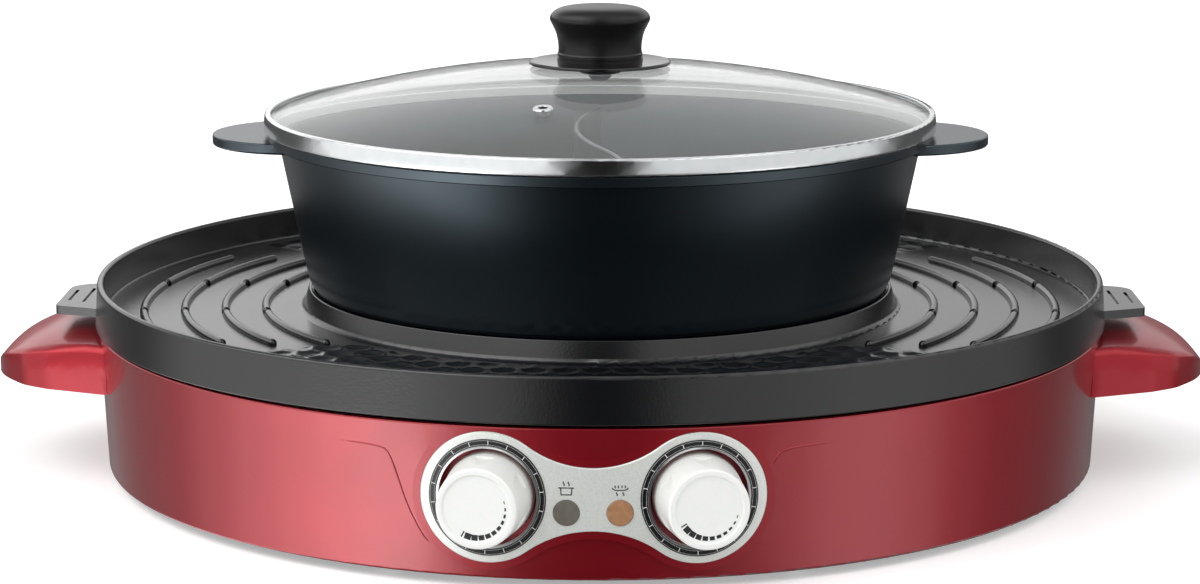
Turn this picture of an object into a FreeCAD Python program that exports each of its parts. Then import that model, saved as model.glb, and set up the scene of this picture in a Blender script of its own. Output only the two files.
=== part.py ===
import FreeCAD, Part
import math
import os

# Round table cooker: an electric base with two wing handles, a ridged grill plate with a collar,
# a divided pot standing in the collar on its own heating plate, and a glass lid.
# Millimetres. +Z is up, the table is z = 0, the axis of the cooker is x = y = 0, the controls face -Y.

# ---------------------------------------------------------------------------------------------
# Driving dimensions
# ---------------------------------------------------------------------------------------------
seat_gap = 0.3            # between a lift-off piece and what carries it
fixed_gap = 0.15          # between two pieces that are screwed or pressed together

# Screws used throughout
screw_radius = 1.4
screw_head_radius = 3.6
screw_head_height = 2.2
screw_hole_radius = 2.0   # clear hole in the piece that is held
pilot_spare = 2.0         # pilot hole beyond the screw's tip

# Base shell, feet and cover
foot_drop = 3.5           # table to the shell's lower edge
foot_radius = 11.0
foot_inset = 49.8         # feet, from the shell's top edge inwards
foot_stem_radius = 4.0
cover_recess = 0.8        # cover's underside above the shell's lower edge
cover_thickness = 2.0
cover_edge_gap = 0.4
shell_height = 59.0
shell_top_radius = 214.8
shell_draft = 2.8         # radius lost from the top edge to the lower edge
shell_wall = 2.4
ledge_drop = 4.5          # shell's top edge down to the ledge that carries the pan
ledge_thickness = 2.5
ledge_width = 16.8        # from the shell's top edge inwards to the ledge's edge
boss_count = 8
boss_radius = 4.5
boss_inset = 11.8         # cover screws, from the shell's top edge inwards
cover_screw_length = 12.0
cover_rib_insets = (24.8, 74.8, 124.8)   # ribs round the cover, from the shell's top edge inwards
cover_rib_height = 3.0
vent_circles = (60.0, 70.0, 80.0)
vent_width = 3.0

# Control panel
panel_proud = 0.4         # outer face of the silver panel beyond the shell's top edge
panel_thickness = 1.4
panel_edge = 0.35         # chamfer round the panel's outer edge
pad_proud = 0.8           # the panel stands this far out of the shell's moulded pad
pad_border = 3.0          # pad beyond the panel's outline
dial_spacing = 79.0       # between the two dial centres, across the front
dial_drop = 27.0          # dial centres below the shell's top edge
lobe_radius = 25.0
waist_height = 24.0
pocket_radius = 18.7
pocket_depth = 7.6
pocket_wall = 2.4
trim_width = 0.7          # bright ring at the pocket's mouth
trim_gap = 0.2
dial_width = 2.6
dial_thickness = 0.35
lamp_spacing = 19.9
lamp_drop = 4.9           # lamp centres below the dial centres
lens_radius = 4.9
lens_proud = 0.4
lens_shoulder = 0.6       # stem's radius less than the lens's
lens_stem_length = 15.0
lens_window = 2.0         # thickness of the lens in front of the lamp
lens_stem_wall = 1.25
neon_length = 14.0
neon_clearance = 0.05

# Thermostats, shafts and knobs
bush_radius = 4.9
nut_across_flats = 13.0
nut_thickness = 2.5
shaft_radius = 3.0
shaft_clearance = 0.05
shaft_flat_depth = 1.0
thermostat_width = 34.0
thermostat_height = 30.0
thermostat_depth = 24.0
thermostat_blade_spacing = 9.0
knob_pocket_gap = 1.7     # round the knob's base in its pocket
knob_taper = 1.8
knob_proud = 17.4         # knob's face in front of the panel
knob_wall = 1.8
knob_floor_gap = 1.0
knob_hub_radius = 5.6
knob_flat_count = 6
knob_flat_depth = 0.55
knob_flat_radius = 22.0

# Wing handles
wing_length = 45.5        # tip of each handle beyond the shell's top edge
wing_tip_radius = 68.6
wing_root_half = 61.5     # half width where the handle meets the shell
wing_side_slope = 0.42
wing_corner_radius = 12.0
wing_height = 21.5
wing_drop = 23.5          # handles' underside below the shell's top edge
wing_drop_length = 35.0   # length of the rounded fall towards the tip
wing_crown = 2.2
wing_crease_radius = 3.5
wing_wall = 3.0
wing_screw_angle = 10.0
wing_boss_radius = 4.5
wing_boss_length = 14.0
wing_screw_length = 15.0

# Inlet at the rear
inlet_block_width = 64.0
inlet_block_height = 36.0
inlet_block_length = 11.2 # face of the inlet's block beyond the shell's top edge
inlet_block_corner = 7.0
inlet_height = 31.0
inlet_flange_width = 50.5
inlet_flange_height = 28.0
inlet_flange_thickness = 1.8
inlet_body_width = 28.4
inlet_body_height = 21.0
inlet_body_depth = 26.0
inlet_cavity_width = 24.4
inlet_cavity_height = 17.0
inlet_cavity_depth = 16.5
inlet_chamfer = 4.5
inlet_screw_spacing = 40.0
inlet_screw_length = 10.0
pin_spacing = 14.0
pin_thickness = 2.0
pin_width = 4.0
pin_offset = 2.0
pin_recess = 3.0
terminal_block_gap = 61.0 # from the inlet's block inwards to the terminal block's middle
terminal_block_width = 44.0
terminal_block_depth = 18.0
terminal_block_height = 14.0
terminal_spacing = 11.0

# Reflector pan and heaters
pan_sheet = 0.8
pan_depth = 4.5
pan_wall_gap = 1.0
pan_flange_gap = 3.0
pillar_radius = 7.0
pillar_wall = 2.5
pillar_circle = 112.0
pillar_count = 4
pan_screw_length = 12.0
element_radius = 3.5
element_wall_gap = 18.0   # outer circle of the tube inside the ledge's edge
element_spacing = 30.0
element_height = 5.7      # tube's centre above the pan's floor
element_gap_angle = 9.0
element_end_bend = 9.0
cradle_count = 5
cradle_width = 10.0
cradle_sheet = 0.8
cradle_overhang = 12.0
terminal_drop = 15.0      # cold ends below the pan's floor
terminal_hole_gap = 1.6
blade_width = 6.3
blade_thickness = 0.8
blade_length = 8.0
hotplate_hole_gap = 12.0  # round the heating plate in the grill plate's hole
hotplate_thickness = 7.0
hotplate_leg_height = 8.4
hotplate_leg_radius = 5.0
hotplate_leg_inset = 45.0
hotplate_leg_count = 3
hotplate_ring_inset = 27.0
hotplate_ring_radius = 5.5
hotplate_terminal_angle = 12.0
hotplate_stem_radius = 3.2
hotplate_stem_depth = 2.8
hotplate_screw_length = 7.8
hotplate_groove_inset = 60.5
hotplate_groove_width = 3.0

# Grill plate
skirt_gap = 1.2           # seam between the shell's top edge and the plate's skirt
rim_height = 18.3
rim_step = 0.2            # rim's radius beyond the shell's top edge
rim_flare = 1.3
rim_wall = 2.8
tray_depth = 14.3
tray_floor = 3.0
plate_foot_step = 8.0     # plate's foot ring beyond the ledge's edge
plate_foot_width = 3.0
collar_top_radius = 125.4
collar_draft = 2.6
collar_drop = 5.6         # rim's top edge down to the collar's lip
collar_lip = 1.2
collar_step = 0.6
funnel_top_step = 2.0     # funnel's mouth inside the collar's top
funnel_top_drop = 2.0
funnel_foot_step = 7.4
funnel_foot_drop = 6.4
plate_hole_step = 8.4
ridge_collar_gap = 18.6   # first ridge outside the collar's top
ridge_pitch = 17.2
ridge_count = 4
ridge_half_length = 93.0
ridge_break_offset = 31.0
ridge_break_gap = 2.6
ridge_radius = 1.8
ridge_height = 2.3
ear_length = 17.5         # beyond the rim
ear_tip_half = 22.5
ear_root_half = 29.5
ear_front_corner = 3.0
ear_back_corner = 10.0
ear_thickness = 3.7
ear_drop = 12.6
ear_groove_width = 1.4
ear_groove_depth = 0.8

# Pot
pot_height = 74.2
pot_band_step = 4.3       # rim band beyond the wall
pot_band_height = 4.5
pot_collar_step = 2.1     # foot of the wall inside the collar's top
pot_flare = 14.0
pot_corner_radius = 16.0
pot_wall = 3.0
pot_floor = 3.2
pot_seat_width = 3.2      # lid's seat inwards from the rim
pot_seat_depth = 3.6
pot_ear_radius = 37.9
pot_ear_inset = 13.3      # ear's centre inside the rim
pot_ear_thickness = 4.5
pot_ear_drop = 3.1
divider_thickness = 2.4
divider_bow = 11.5
divider_drop = 9.7

# Lid
band_overhang = 1.4       # lid's band beyond the pot's rim
band_height = 6.85
band_sheet = 0.8
band_hem = 2.6
band_skirt_play = 0.8     # skirt inside the pot's seat
band_skirt_depth = 3.2
gasket_height = 0.8
glass_edge_gap = 1.5      # glass inside the band's face
glass_thickness = 4.0
glass_rise = 20.4
eyelet_circle = 87.5
eyelet_angle = 255.5
eyelet_flange_radius = 4.2
eyelet_tube_radius = 2.9
eyelet_bore_radius = 1.9
eyelet_sheet = 0.6
disc_radius = 30.2
disc_thickness = 1.9
disc_seat_radius = 12.0
lid_knob_height = 23.6
lid_knob_radius = 21.4
lid_knob_neck_radius = 17.75
lid_knob_foot_radius = 18.3
lid_screw_radius = 2.4
lid_screw_length = 19.0
lid_washer_radius = 9.0
lid_washer_thickness = 1.6

# ---------------------------------------------------------------------------------------------
# Heights and radii that follow from them
# ---------------------------------------------------------------------------------------------
shell_foot_z = foot_drop
shell_top_z = shell_foot_z + shell_height
ledge_inner_radius = shell_top_radius - ledge_width
boss_circle = shell_top_radius - boss_inset
foot_circle = shell_top_radius - foot_inset
cover_rib_circles = [shell_top_radius - inset for inset in cover_rib_insets]
panel_radius = shell_top_radius + panel_proud
wing_reach = shell_top_radius + wing_length
inlet_block_reach = shell_top_radius + inlet_block_length
terminal_block_y = inlet_block_reach - terminal_block_gap
element_outer_circle = ledge_inner_radius - element_wall_gap
element_inner_circle = element_outer_circle - element_spacing
rim_radius = shell_top_radius + rim_step
ear_reach = rim_radius + ear_length
plate_foot_radius = ledge_inner_radius + plate_foot_step
collar_base_radius = collar_top_radius + collar_draft
funnel_top_radius = collar_top_radius - funnel_top_step
funnel_foot_radius = collar_top_radius - funnel_foot_step
plate_hole_radius = collar_top_radius - plate_hole_step
hotplate_radius = plate_hole_radius - hotplate_hole_gap
hotplate_leg_circle = hotplate_radius - hotplate_leg_inset
hotplate_ring_circle = hotplate_radius - hotplate_ring_inset
hotplate_groove_circle = hotplate_radius - hotplate_groove_inset
pot_wall_foot_radius = collar_top_radius - pot_collar_step
pot_wall_top_radius = pot_wall_foot_radius + pot_flare
pot_rim_radius = pot_wall_top_radius + pot_band_step
pot_seat_radius = pot_rim_radius - pot_seat_width
pot_ear_centre = pot_rim_radius - pot_ear_inset
band_radius = pot_rim_radius + band_overhang
band_skirt_radius = pot_seat_radius - band_skirt_play
glass_edge_radius = band_radius - glass_edge_gap
trim_inner_radius = pocket_radius
trim_outer_radius = trim_inner_radius + trim_width
dial_inner_radius = trim_outer_radius + trim_gap
dial_outer_radius = dial_inner_radius + dial_width
lens_stem_radius = lens_radius - lens_shoulder
neon_radius = lens_stem_radius - lens_stem_wall - neon_clearance
knob_base_radius = pocket_radius - knob_pocket_gap
knob_face_radius = knob_base_radius - knob_taper
cover_under_z = shell_foot_z + cover_recess
cover_top_z = cover_under_z + cover_thickness
ledge_top_z = shell_top_z - ledge_drop
ledge_under_z = ledge_top_z - ledge_thickness
pan_flange_top_z = ledge_top_z + pan_sheet
pan_under_z = ledge_top_z - pan_depth
pan_floor_z = pan_under_z + pan_sheet
hotplate_under_z = pan_floor_z + hotplate_leg_height
hotplate_top_z = hotplate_under_z + hotplate_thickness
hotplate_ring_z = hotplate_under_z + 1.5
hotplate_stem_top_z = hotplate_ring_z - hotplate_ring_radius + hotplate_stem_depth
skirt_foot_z = shell_top_z + skirt_gap
rim_top_z = skirt_foot_z + rim_height
tray_z = rim_top_z - tray_depth
tray_under_z = tray_z - tray_floor
collar_top_z = rim_top_z - collar_drop
pot_foot_z = hotplate_top_z + seat_gap
pot_top_z = pot_foot_z + pot_height
pot_slope = (pot_wall_top_radius - pot_wall_foot_radius) / (pot_height - pot_band_height)
band_foot_z = pot_top_z + seat_gap
band_top_z = band_foot_z + band_height
gasket_foot_z = band_foot_z + band_sheet
glass_edge_z = gasket_foot_z + gasket_height + glass_thickness
glass_radius = (glass_edge_radius ** 2 + glass_rise ** 2) / (2 * glass_rise)
glass_top_z = glass_edge_z + glass_rise
glass_centre_z = glass_top_z - glass_radius
disc_top_z = glass_top_z + disc_thickness
knob_top_z = disc_top_z + lid_knob_height
lid_screw_seat_z = glass_top_z - glass_thickness - lid_washer_thickness
pad_radius = panel_radius - pad_proud
recess_radius = panel_radius - panel_thickness
pocket_floor_radius = panel_radius - pocket_depth
dial_angle = math.degrees(math.asin(dial_spacing / 2 / panel_radius))
lamp_angle = math.degrees(math.asin(lamp_spacing / 2 / panel_radius))
dial_height = shell_top_z - dial_drop
lamp_height = dial_height - lamp_drop
wing_bottom_height = shell_top_z - wing_drop
wing_top_z = wing_bottom_height + wing_height


def shell_radius(z):
    """Outer radius of the drafted shell at height z."""
    return shell_top_radius - shell_draft * (shell_top_z - z) / shell_height


def pot_radius(z):
    """Outer radius of the pot's tapered wall at height z, before its corner is rounded."""
    return pot_wall_foot_radius + pot_slope * (z - pot_foot_z)


def glass_under_z(radius):
    """Height of the glass's lower face at a distance from the axis."""
    return glass_centre_z + math.sqrt((glass_radius - glass_thickness) ** 2 - radius ** 2)


# ---------------------------------------------------------------------------------------------
# Drawing helpers
# ---------------------------------------------------------------------------------------------
def vec(x, y, z):
    return FreeCAD.Vector(x, y, z)


up = vec(0, 0, 1)
origin = vec(0, 0, 0)


def rounded_wire(corners, to_vector):
    """Closed wire through (a, b) or (a, b, radius) corners, each radius limited by its own two sides."""
    points = [to_vector(c[0], c[1]) for c in corners]
    count = len(points)
    trims = []
    for i, corner in enumerate(corners):
        before = points[i - 1] - points[i]
        after = points[(i + 1) % count] - points[i]
        half_angle = before.getAngle(after) / 2
        radius = corner[2] if len(corner) > 2 else 0.0
        if radius == 0.0 or half_angle > math.radians(89.5):
            trims.append(None)
            continue
        reach = min(radius / math.tan(half_angle), 0.49 * before.Length, 0.49 * after.Length)
        before.normalize()
        after.normalize()
        bisector = before + after
        bisector.normalize()
        fillet = reach * math.tan(half_angle)
        middle = points[i] + bisector * (fillet / math.sin(half_angle) - fillet)
        trims.append((points[i] + before * reach, middle, points[i] + after * reach))
    edges = []
    for i in range(count):
        following = (i + 1) % count
        start = trims[i][2] if trims[i] else points[i]
        end = trims[following][0] if trims[following] else points[following]
        edges.append(Part.LineSegment(start, end).toShape())
        if trims[following]:
            edges.append(Part.Arc(*trims[following]).toShape())
    return Part.Wire(edges)


def turned(corners):
    """Solid of revolution about Z from (radius, z[, fillet]) corners."""
    face = Part.Face(rounded_wire(corners, lambda r, z: vec(r, 0, z)))
    return face.revolve(origin, up, 360)


def plan_prism(corners, low_z, high_z):
    """Upright prism over an (x, y[, fillet]) outline."""
    face = Part.Face(rounded_wire(corners, lambda x, y: vec(x, y, low_z)))
    return face.extrude(vec(0, 0, high_z - low_z))


def front_prism(corners, near_y, far_y):
    """Prism along Y over an (x, z[, fillet]) outline."""
    face = Part.Face(rounded_wire(corners, lambda x, z: vec(x, near_y, z)))
    return face.extrude(vec(0, far_y - near_y, 0))


def rectangle(width, height, centre_z, corner=0.0):
    """Corners of an upright rectangle about x = 0."""
    half, low, high = width / 2, centre_z - height / 2, centre_z + height / 2
    return [(-half, low, corner), (half, low, corner), (half, high, corner), (-half, high, corner)]


def cylinder(radius, low, high, x=0.0, y=0.0):
    """Upright cylinder between two heights."""
    return Part.makeCylinder(radius, high - low, vec(x, y, low), up)


def tube(outer, inner, low, high, x=0.0, y=0.0):
    return cylinder(outer, low, high, x, y).cut(cylinder(inner, low - 1, high + 1, x, y))


def turned_about_axis(shape, degrees):
    """Copy of a shape turned about the cooker's axis."""
    copy = shape.copy()
    copy.rotate(origin, up, degrees)
    return copy


def around(shape, count, first=0.0):
    """Copies of a shape spaced evenly about the cooker's axis."""
    return [turned_about_axis(shape, first + 360.0 * i / count) for i in range(count)]


def facing_out(shape, angle, height):
    """Stand a shape drawn along +Z on the front, at an angle from the middle and a height.

    The shape's own z becomes the distance from the cooker's axis, and its own y points up.
    """
    copy = shape.copy()
    copy.rotate(origin, vec(1, 0, 0), 90)
    copy.translate(vec(0, 0, height))
    copy.rotate(origin, up, angle)
    return copy


def swept_tube(edges, radius):
    """Round tube of one radius along tangent edges."""
    path = Part.Wire(edges)
    start = path.OrderedEdges[0]
    direction = start.tangentAt(start.FirstParameter)
    section = Part.Wire(Part.Circle(start.valueAt(start.FirstParameter), direction, radius).toShape())
    return path.makePipeShell([section], True, True)


def joined(shapes):
    """One solid from overlapping shapes."""
    return shapes[0].multiFuse(shapes[1:]).removeSplitter()


def cut_all(shape, tools):
    return shape.cut(Part.makeCompound(tools))


def save(name, shape):
    """Write one node: a single solid, or a group of separate solids."""
    solids = shape.Solids
    body = solids[0] if len(solids) == 1 else Part.makeCompound(solids)
    body.exportStep("parts/" + name + ".step")
    return body


# ---------------------------------------------------------------------------------------------
# Control panel outline, shared by the panel, its recess and the shell's pad
# ---------------------------------------------------------------------------------------------
def panel_outline(grow):
    """Prism of the dumbbell outline: two lobes joined by a waist with hollow sides."""
    lobe = lobe_radius + grow
    half_waist = waist_height / 2 + grow
    half = dial_spacing / 2
    flank = (half ** 2 + half_waist ** 2 - lobe ** 2) / (2 * (lobe - half_waist))
    near_y, length = -panel_radius - 20, 40
    front = vec(0, 1, 0)
    lobes = [Part.makeCylinder(lobe, length, vec(s * half, near_y, dial_height), front) for s in (-1, 1)]
    tangent = half * flank / (lobe + flank)
    waist = Part.makeBox(2 * half, length, 2 * lobe, vec(-half, near_y, dial_height - lobe))
    flanks = []
    for s in (-1, 1):
        centre = vec(0, near_y - 1, dial_height + s * (half_waist + flank))
        flanks.append(Part.makeCylinder(flank, length + 2, centre, front))
        corner_z = dial_height + (0 if s > 0 else -2 * lobe)
        for side in (-1, 1):
            low_x = tangent if side > 0 else -tangent - 2 * lobe
            flanks.append(Part.makeBox(2 * lobe, length + 2, 2 * lobe, vec(low_x, near_y - 1, corner_z)))
    waist = waist.cut(Part.makeCompound(flanks))
    rise = (half_waist + flank) * lobe / (lobe + flank)
    wedge = [(-half, dial_height), (-tangent, dial_height - rise), (tangent, dial_height - rise),
             (half, dial_height), (tangent, dial_height + rise), (-tangent, dial_height + rise)]
    blend = front_prism(wedge, near_y, near_y + length).cut(Part.makeCompound(flanks[0:1] + flanks[3:4]))
    return joined(lobes + [blend])


def panel_band(inner, outer, grow):
    """Curved plate of the outline, kept between the rounded edges of the shell."""
    low = max(dial_height - lobe_radius - grow - 1, shell_foot_z + 2)
    high = min(dial_height + lobe_radius + grow + 1, shell_top_z - 1)
    return tube(outer, inner, low, high).common(panel_outline(grow))


# ---------------------------------------------------------------------------------------------
# Base: shell, cover, feet
# ---------------------------------------------------------------------------------------------
def cover_boss_places():
    step = 360.0 / boss_count
    angles = [math.radians(step / 2 + step * i) for i in range(boss_count)]
    return [(boss_circle * math.cos(a), boss_circle * math.sin(a)) for a in angles]


def pocket_cup():
    """Outside of the cup moulded behind each dial, drawn along +Z."""
    return cylinder(pocket_radius + pocket_wall, pocket_floor_radius - pocket_wall, recess_radius - 0.5)


def base_shell():
    inner_foot = shell_radius(shell_foot_z) - shell_wall
    profile = [
        (shell_radius(shell_foot_z), shell_foot_z, 1.5),
        (shell_top_radius, shell_top_z, 0.8),
        (shell_top_radius - shell_wall, shell_top_z, 0.8),
        (shell_radius(ledge_top_z) - shell_wall, ledge_top_z),
        (ledge_inner_radius, ledge_top_z, 0.6),
        (ledge_inner_radius, ledge_under_z, 0.6),
        (shell_radius(ledge_under_z) - shell_wall, ledge_under_z),
        (inner_foot, shell_foot_z),
    ]
    body = [turned(profile)]
    block = front_prism(rectangle(inlet_block_width, inlet_block_height, inlet_height, inlet_block_corner),
                        ledge_inner_radius, inlet_block_reach)
    body.append(block.cut(cylinder(inner_foot, 0, shell_top_z)))
    low = shell_radius(dial_height - lobe_radius) - shell_wall / 2
    body.append(panel_band(low, pad_radius, pad_border))
    for side in (-1, 1):
        body.append(facing_out(pocket_cup(), side * dial_angle, dial_height))
    for x, y in cover_boss_places():
        boss = cylinder(boss_radius, cover_top_z, ledge_under_z + 0.5, x, y)
        web = Part.makeBox(shell_wall + boss_radius + 1, shell_wall, ledge_under_z + 0.5 - cover_top_z,
                           vec(boss_circle + 1, -shell_wall / 2, cover_top_z))
        web.rotate(origin, up, math.degrees(math.atan2(y, x)))
        body += [boss, web.common(cylinder(shell_radius(cover_top_z) - shell_wall / 2, 0, shell_top_z))]
    shell = joined(body)
    cuts = [panel_band(recess_radius, panel_radius + 5, fixed_gap)]
    for side in (-1, 1):
        pocket = cylinder(pocket_radius, pocket_floor_radius, panel_radius + 5)
        bush = cylinder(bush_radius + fixed_gap, pocket_floor_radius - 10, panel_radius)
        lens = cylinder(lens_stem_radius + fixed_gap, recess_radius - 10, panel_radius)
        cuts.append(facing_out(pocket, side * dial_angle, dial_height))
        cuts.append(facing_out(bush, side * dial_angle, dial_height))
        cuts.append(facing_out(lens, side * lamp_angle, lamp_height))
    screw_tip_z = cover_under_z + cover_screw_length
    for x, y in cover_boss_places():
        cuts.append(cylinder(screw_radius, cover_top_z - 1, screw_tip_z + pilot_spare, x, y))
    for angle in wing_screw_angles():
        cuts.append(along_radius(cylinder(screw_hole_radius, boss_circle, wing_root_radius), angle,
                                 wing_screw_z))
    hollow = front_prism(rectangle(inlet_block_width - 2 * shell_wall, inlet_block_height - 2 * shell_wall,
                                   inlet_height, inlet_block_corner - shell_wall),
                         ledge_inner_radius - 5, inlet_block_reach - shell_wall)
    opening = front_prism(rectangle(inlet_body_width + 2 * fixed_gap, inlet_body_height + 2 * fixed_gap,
                                    inlet_height), inlet_block_reach - 10, inlet_block_reach + 5)
    cuts += [hollow, opening]
    for s in (-1, 1):
        start = vec(s * inlet_screw_spacing / 2, inlet_block_reach - 20, inlet_height)
        cuts.append(Part.makeCylinder(screw_radius, 30, start, vec(0, 1, 0)))
    return cut_all(shell, cuts)


def vent_slot(radius, half_angle, width):
    """Curved slot through the cover, centred on +X."""
    ring = tube(radius + width / 2, radius - width / 2, cover_under_z - 1, cover_top_z + 1)
    spread = radius * math.tan(math.radians(half_angle))
    wedge = plan_prism([(0, 0), (2 * radius, 2 * spread), (2 * radius, -2 * spread)],
                       cover_under_z - 1, cover_top_z + 1)
    return ring.common(wedge)


def bottom_cover():
    radius = shell_radius(cover_under_z) - shell_wall - cover_edge_gap
    body = [turned([(0, cover_under_z), (radius, cover_under_z), (radius, cover_top_z), (0, cover_top_z)])]
    post = cylinder(pillar_radius, cover_top_z - 0.5, pan_under_z, pillar_circle)
    collar = cylinder(foot_radius + 2, cover_top_z - 0.5, cover_top_z + 1.5, foot_circle)
    body += around(post, pillar_count, 45) + around(collar, 4, 45)
    for circle in cover_rib_circles:
        body.append(tube(circle + 1, circle - 1, cover_top_z - 0.5, cover_top_z + cover_rib_height))
    cover = joined(body)
    cuts = around(cylinder(foot_stem_radius + fixed_gap, 0, 20, foot_circle), 4, 45)
    cuts += around(cylinder(pillar_radius - pillar_wall, cover_top_z, pan_under_z - 12, pillar_circle),
                   pillar_count, 45)
    cuts += around(cylinder(screw_radius, pan_under_z - 13, pan_under_z + 1, pillar_circle),
                   pillar_count, 45)
    for x, y in cover_boss_places():
        cuts.append(cylinder(screw_hole_radius, 0, 20, x, y))
    for circle in vent_circles:
        cuts += around(vent_slot(circle, 12, vent_width), 8, 22.5)
    return cut_all(cover, cuts)


def rubber_feet():
    stem_top = cover_top_z + 1.5
    foot = turned([
        (0, 0), (foot_radius, 0, 1.2), (foot_radius + 0.6, cover_under_z),
        (foot_stem_radius, cover_under_z), (foot_stem_radius, stem_top),
        (foot_stem_radius + 1.4, stem_top + 0.2, 0.5), (foot_stem_radius - 1, stem_top + 3.5, 0.5),
        (0, stem_top + 3.5)])
    foot.translate(vec(foot_circle, 0, 0))
    return Part.makeCompound(around(foot, 4, 45))


def pan_head_screw(length, shank=screw_radius, head=screw_head_radius, head_height=screw_head_height):
    """Screw drawn along +Z: the shank runs up from z = 0, the domed head hangs below it."""
    return turned([
        (0, -head_height), (head * 0.6, -head_height, 0.4), (head, -head_height * 0.4, 0.5),
        (head, 0), (shank, 0), (shank, length - shank), (0.3, length), (0, length)])


def cover_screws():
    screws = []
    for x, y in cover_boss_places():
        screw = pan_head_screw(cover_screw_length)
        screw.translate(vec(x, y, cover_under_z))
        screws.append(screw)
    return Part.makeCompound(screws)


# ---------------------------------------------------------------------------------------------
# Wing handles
# ---------------------------------------------------------------------------------------------
wing_screw_z = wing_bottom_height + wing_height / 2 - 1.5
wing_root_radius = shell_top_radius + wing_wall + 1.0
wing_screw_seat = shell_radius(wing_screw_z - screw_head_radius) - shell_wall - 0.05


def wing_screw_angles():
    return [base + side * wing_screw_angle for base in (0, 180) for side in (-1, 1)]


def along_radius(shape, angle, height):
    """Lay a shape drawn along +Z outward along a radius; its own z becomes the radius."""
    copy = shape.copy()
    copy.rotate(origin, vec(0, 1, 0), 90)
    copy.translate(vec(0, 0, height))
    copy.rotate(origin, up, angle)
    return copy


def wing_body(inset):
    """Handle on the +X side: D-shaped in plan, crowned on top, falling to its tip, inset all round."""
    tip = wing_reach - inset
    tip_radius = wing_tip_radius - inset
    low = wing_bottom_height
    root_x = shell_top_radius - 14
    half_at_root = wing_root_half - inset + wing_side_slope * (shell_top_radius - 10 - root_x)
    far_x = tip + 5
    far_half = half_at_root - wing_side_slope * (far_x - root_x)
    corners = [(root_x, -half_at_root), (far_x, -far_half), (far_x, far_half), (root_x, half_at_root)]
    sides = plan_prism(corners, low, wing_top_z + 5)
    plan = sides.common(cylinder(tip_radius, low, wing_top_z + 5, tip - tip_radius))
    uprights = [e for e in plan.Edges if abs(e.tangentAt(e.FirstParameter).z) > 0.99
                and e.CenterOfMass.x > tip - wing_tip_radius / 2]
    plan = plan.makeFillet(wing_corner_radius, uprights)
    start_x = tip - wing_drop_length
    top_z = wing_top_z - inset
    fall = top_z - low + 1.0
    rows = []
    for step_y in range(-5, 6):
        y = step_y * wing_root_half * 1.2 / 5
        sag = wing_crown * (y / (wing_root_half * 0.75)) ** 2
        row = [vec(x, y, top_z - sag) for x in (root_x - 4, root_x + 4, root_x + 10)]
        for step in range(0, 9):
            angle = math.radians(step * 90 / 8)
            x = start_x + (wing_drop_length + 0.5) * math.sin(angle)
            row.append(vec(x, y, top_z - sag - fall * (1 - math.cos(angle))))
        rows.append(row)
    crown = Part.BSplineSurface()
    crown.interpolate(rows)
    below = crown.toShape().extrude(vec(0, 0, -3 * fall))
    return plan.common(below)


def wing_handle(side):
    outer = wing_body(0.0)
    creases = []
    for edge in outer.Edges:
        centre = edge.CenterOfMass
        if centre.z > wing_bottom_height + 3 and centre.x > shell_top_radius - 12 and edge.Length > 6:
            if abs(edge.tangentAt(edge.FirstParameter).z) < 0.95:
                creases.append(edge)
    outer = outer.makeFillet(wing_crease_radius, creases)
    shell_cone = turned([
        (0, 0), (shell_radius(0) + fixed_gap, 0),
        (shell_radius(shell_top_z + 10) + fixed_gap, shell_top_z + 10), (0, shell_top_z + 10)])
    hollow = wing_body(wing_wall)
    hollow = hollow.cut(cylinder(wing_root_radius, 0, 100))
    handle = outer.cut(hollow).cut(shell_cone)
    bosses, pilots = [], []
    for angle in (-wing_screw_angle, wing_screw_angle):
        bosses.append(along_radius(cylinder(wing_boss_radius, wing_root_radius - 1,
                                            shell_top_radius + wing_boss_length), angle, wing_screw_z))
        pilots.append(along_radius(cylinder(screw_radius, boss_circle,
                                            wing_screw_seat + wing_screw_length + pilot_spare),
                                   angle, wing_screw_z))
    handle = cut_all(joined([handle] + [b.common(outer) for b in bosses]), pilots)
    return turned_about_axis(handle, 0 if side > 0 else 180)


def wing_screws():
    screws = []
    for angle in wing_screw_angles():
        screw = pan_head_screw(wing_screw_length)
        screw.translate(vec(0, 0, wing_screw_seat))
        screws.append(along_radius(screw, angle, wing_screw_z))
    return Part.makeCompound(screws)


# ---------------------------------------------------------------------------------------------
# Control panel, lamps, thermostats and knobs
# ---------------------------------------------------------------------------------------------
def control_panel():
    cuts = []
    for side in (-1, 1):
        cuts.append(facing_out(cylinder(pocket_radius, recess_radius - 10, panel_radius + 10),
                               side * dial_angle, dial_height))
        cuts.append(facing_out(cylinder(lens_radius + fixed_gap, recess_radius - 10, panel_radius + 10),
                               side * lamp_angle, lamp_height))
    panel = cut_all(panel_band(recess_radius, panel_radius, 0.0), cuts)
    front = max((f for f in panel.Faces if isinstance(f.Surface, Part.Cylinder)
                 if abs(f.Surface.Radius - panel_radius) < 0.01), key=lambda f: f.Area)
    return panel.makeChamfer(panel_edge, front.OuterWire.Edges)


def curved_ring(inner, outer, side):
    """Thin ring lying on the curved panel round one dial."""
    ring = tube(outer, inner, panel_radius - 15, panel_radius + 15)
    ring = facing_out(ring, side * dial_angle, dial_height)
    band = tube(panel_radius + dial_thickness, panel_radius, 0, shell_top_z + 10)
    return band.common(ring)


lens_back_radius = recess_radius - lens_stem_length
lens_window_radius = panel_radius + lens_proud - lens_window


def lamp_lens(side):
    """Lens with a hollow stem that holds the neon lamp behind it."""
    front = panel_radius + lens_proud
    lens = turned([
        (neon_radius + neon_clearance, lens_back_radius), (lens_stem_radius, lens_back_radius, 0.3),
        (lens_stem_radius, recess_radius), (lens_radius, recess_radius), (lens_radius, front, 0.3),
        (0, front), (0, lens_window_radius), (neon_radius + neon_clearance, lens_window_radius)])
    return facing_out(lens, side * lamp_angle, lamp_height)


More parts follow.
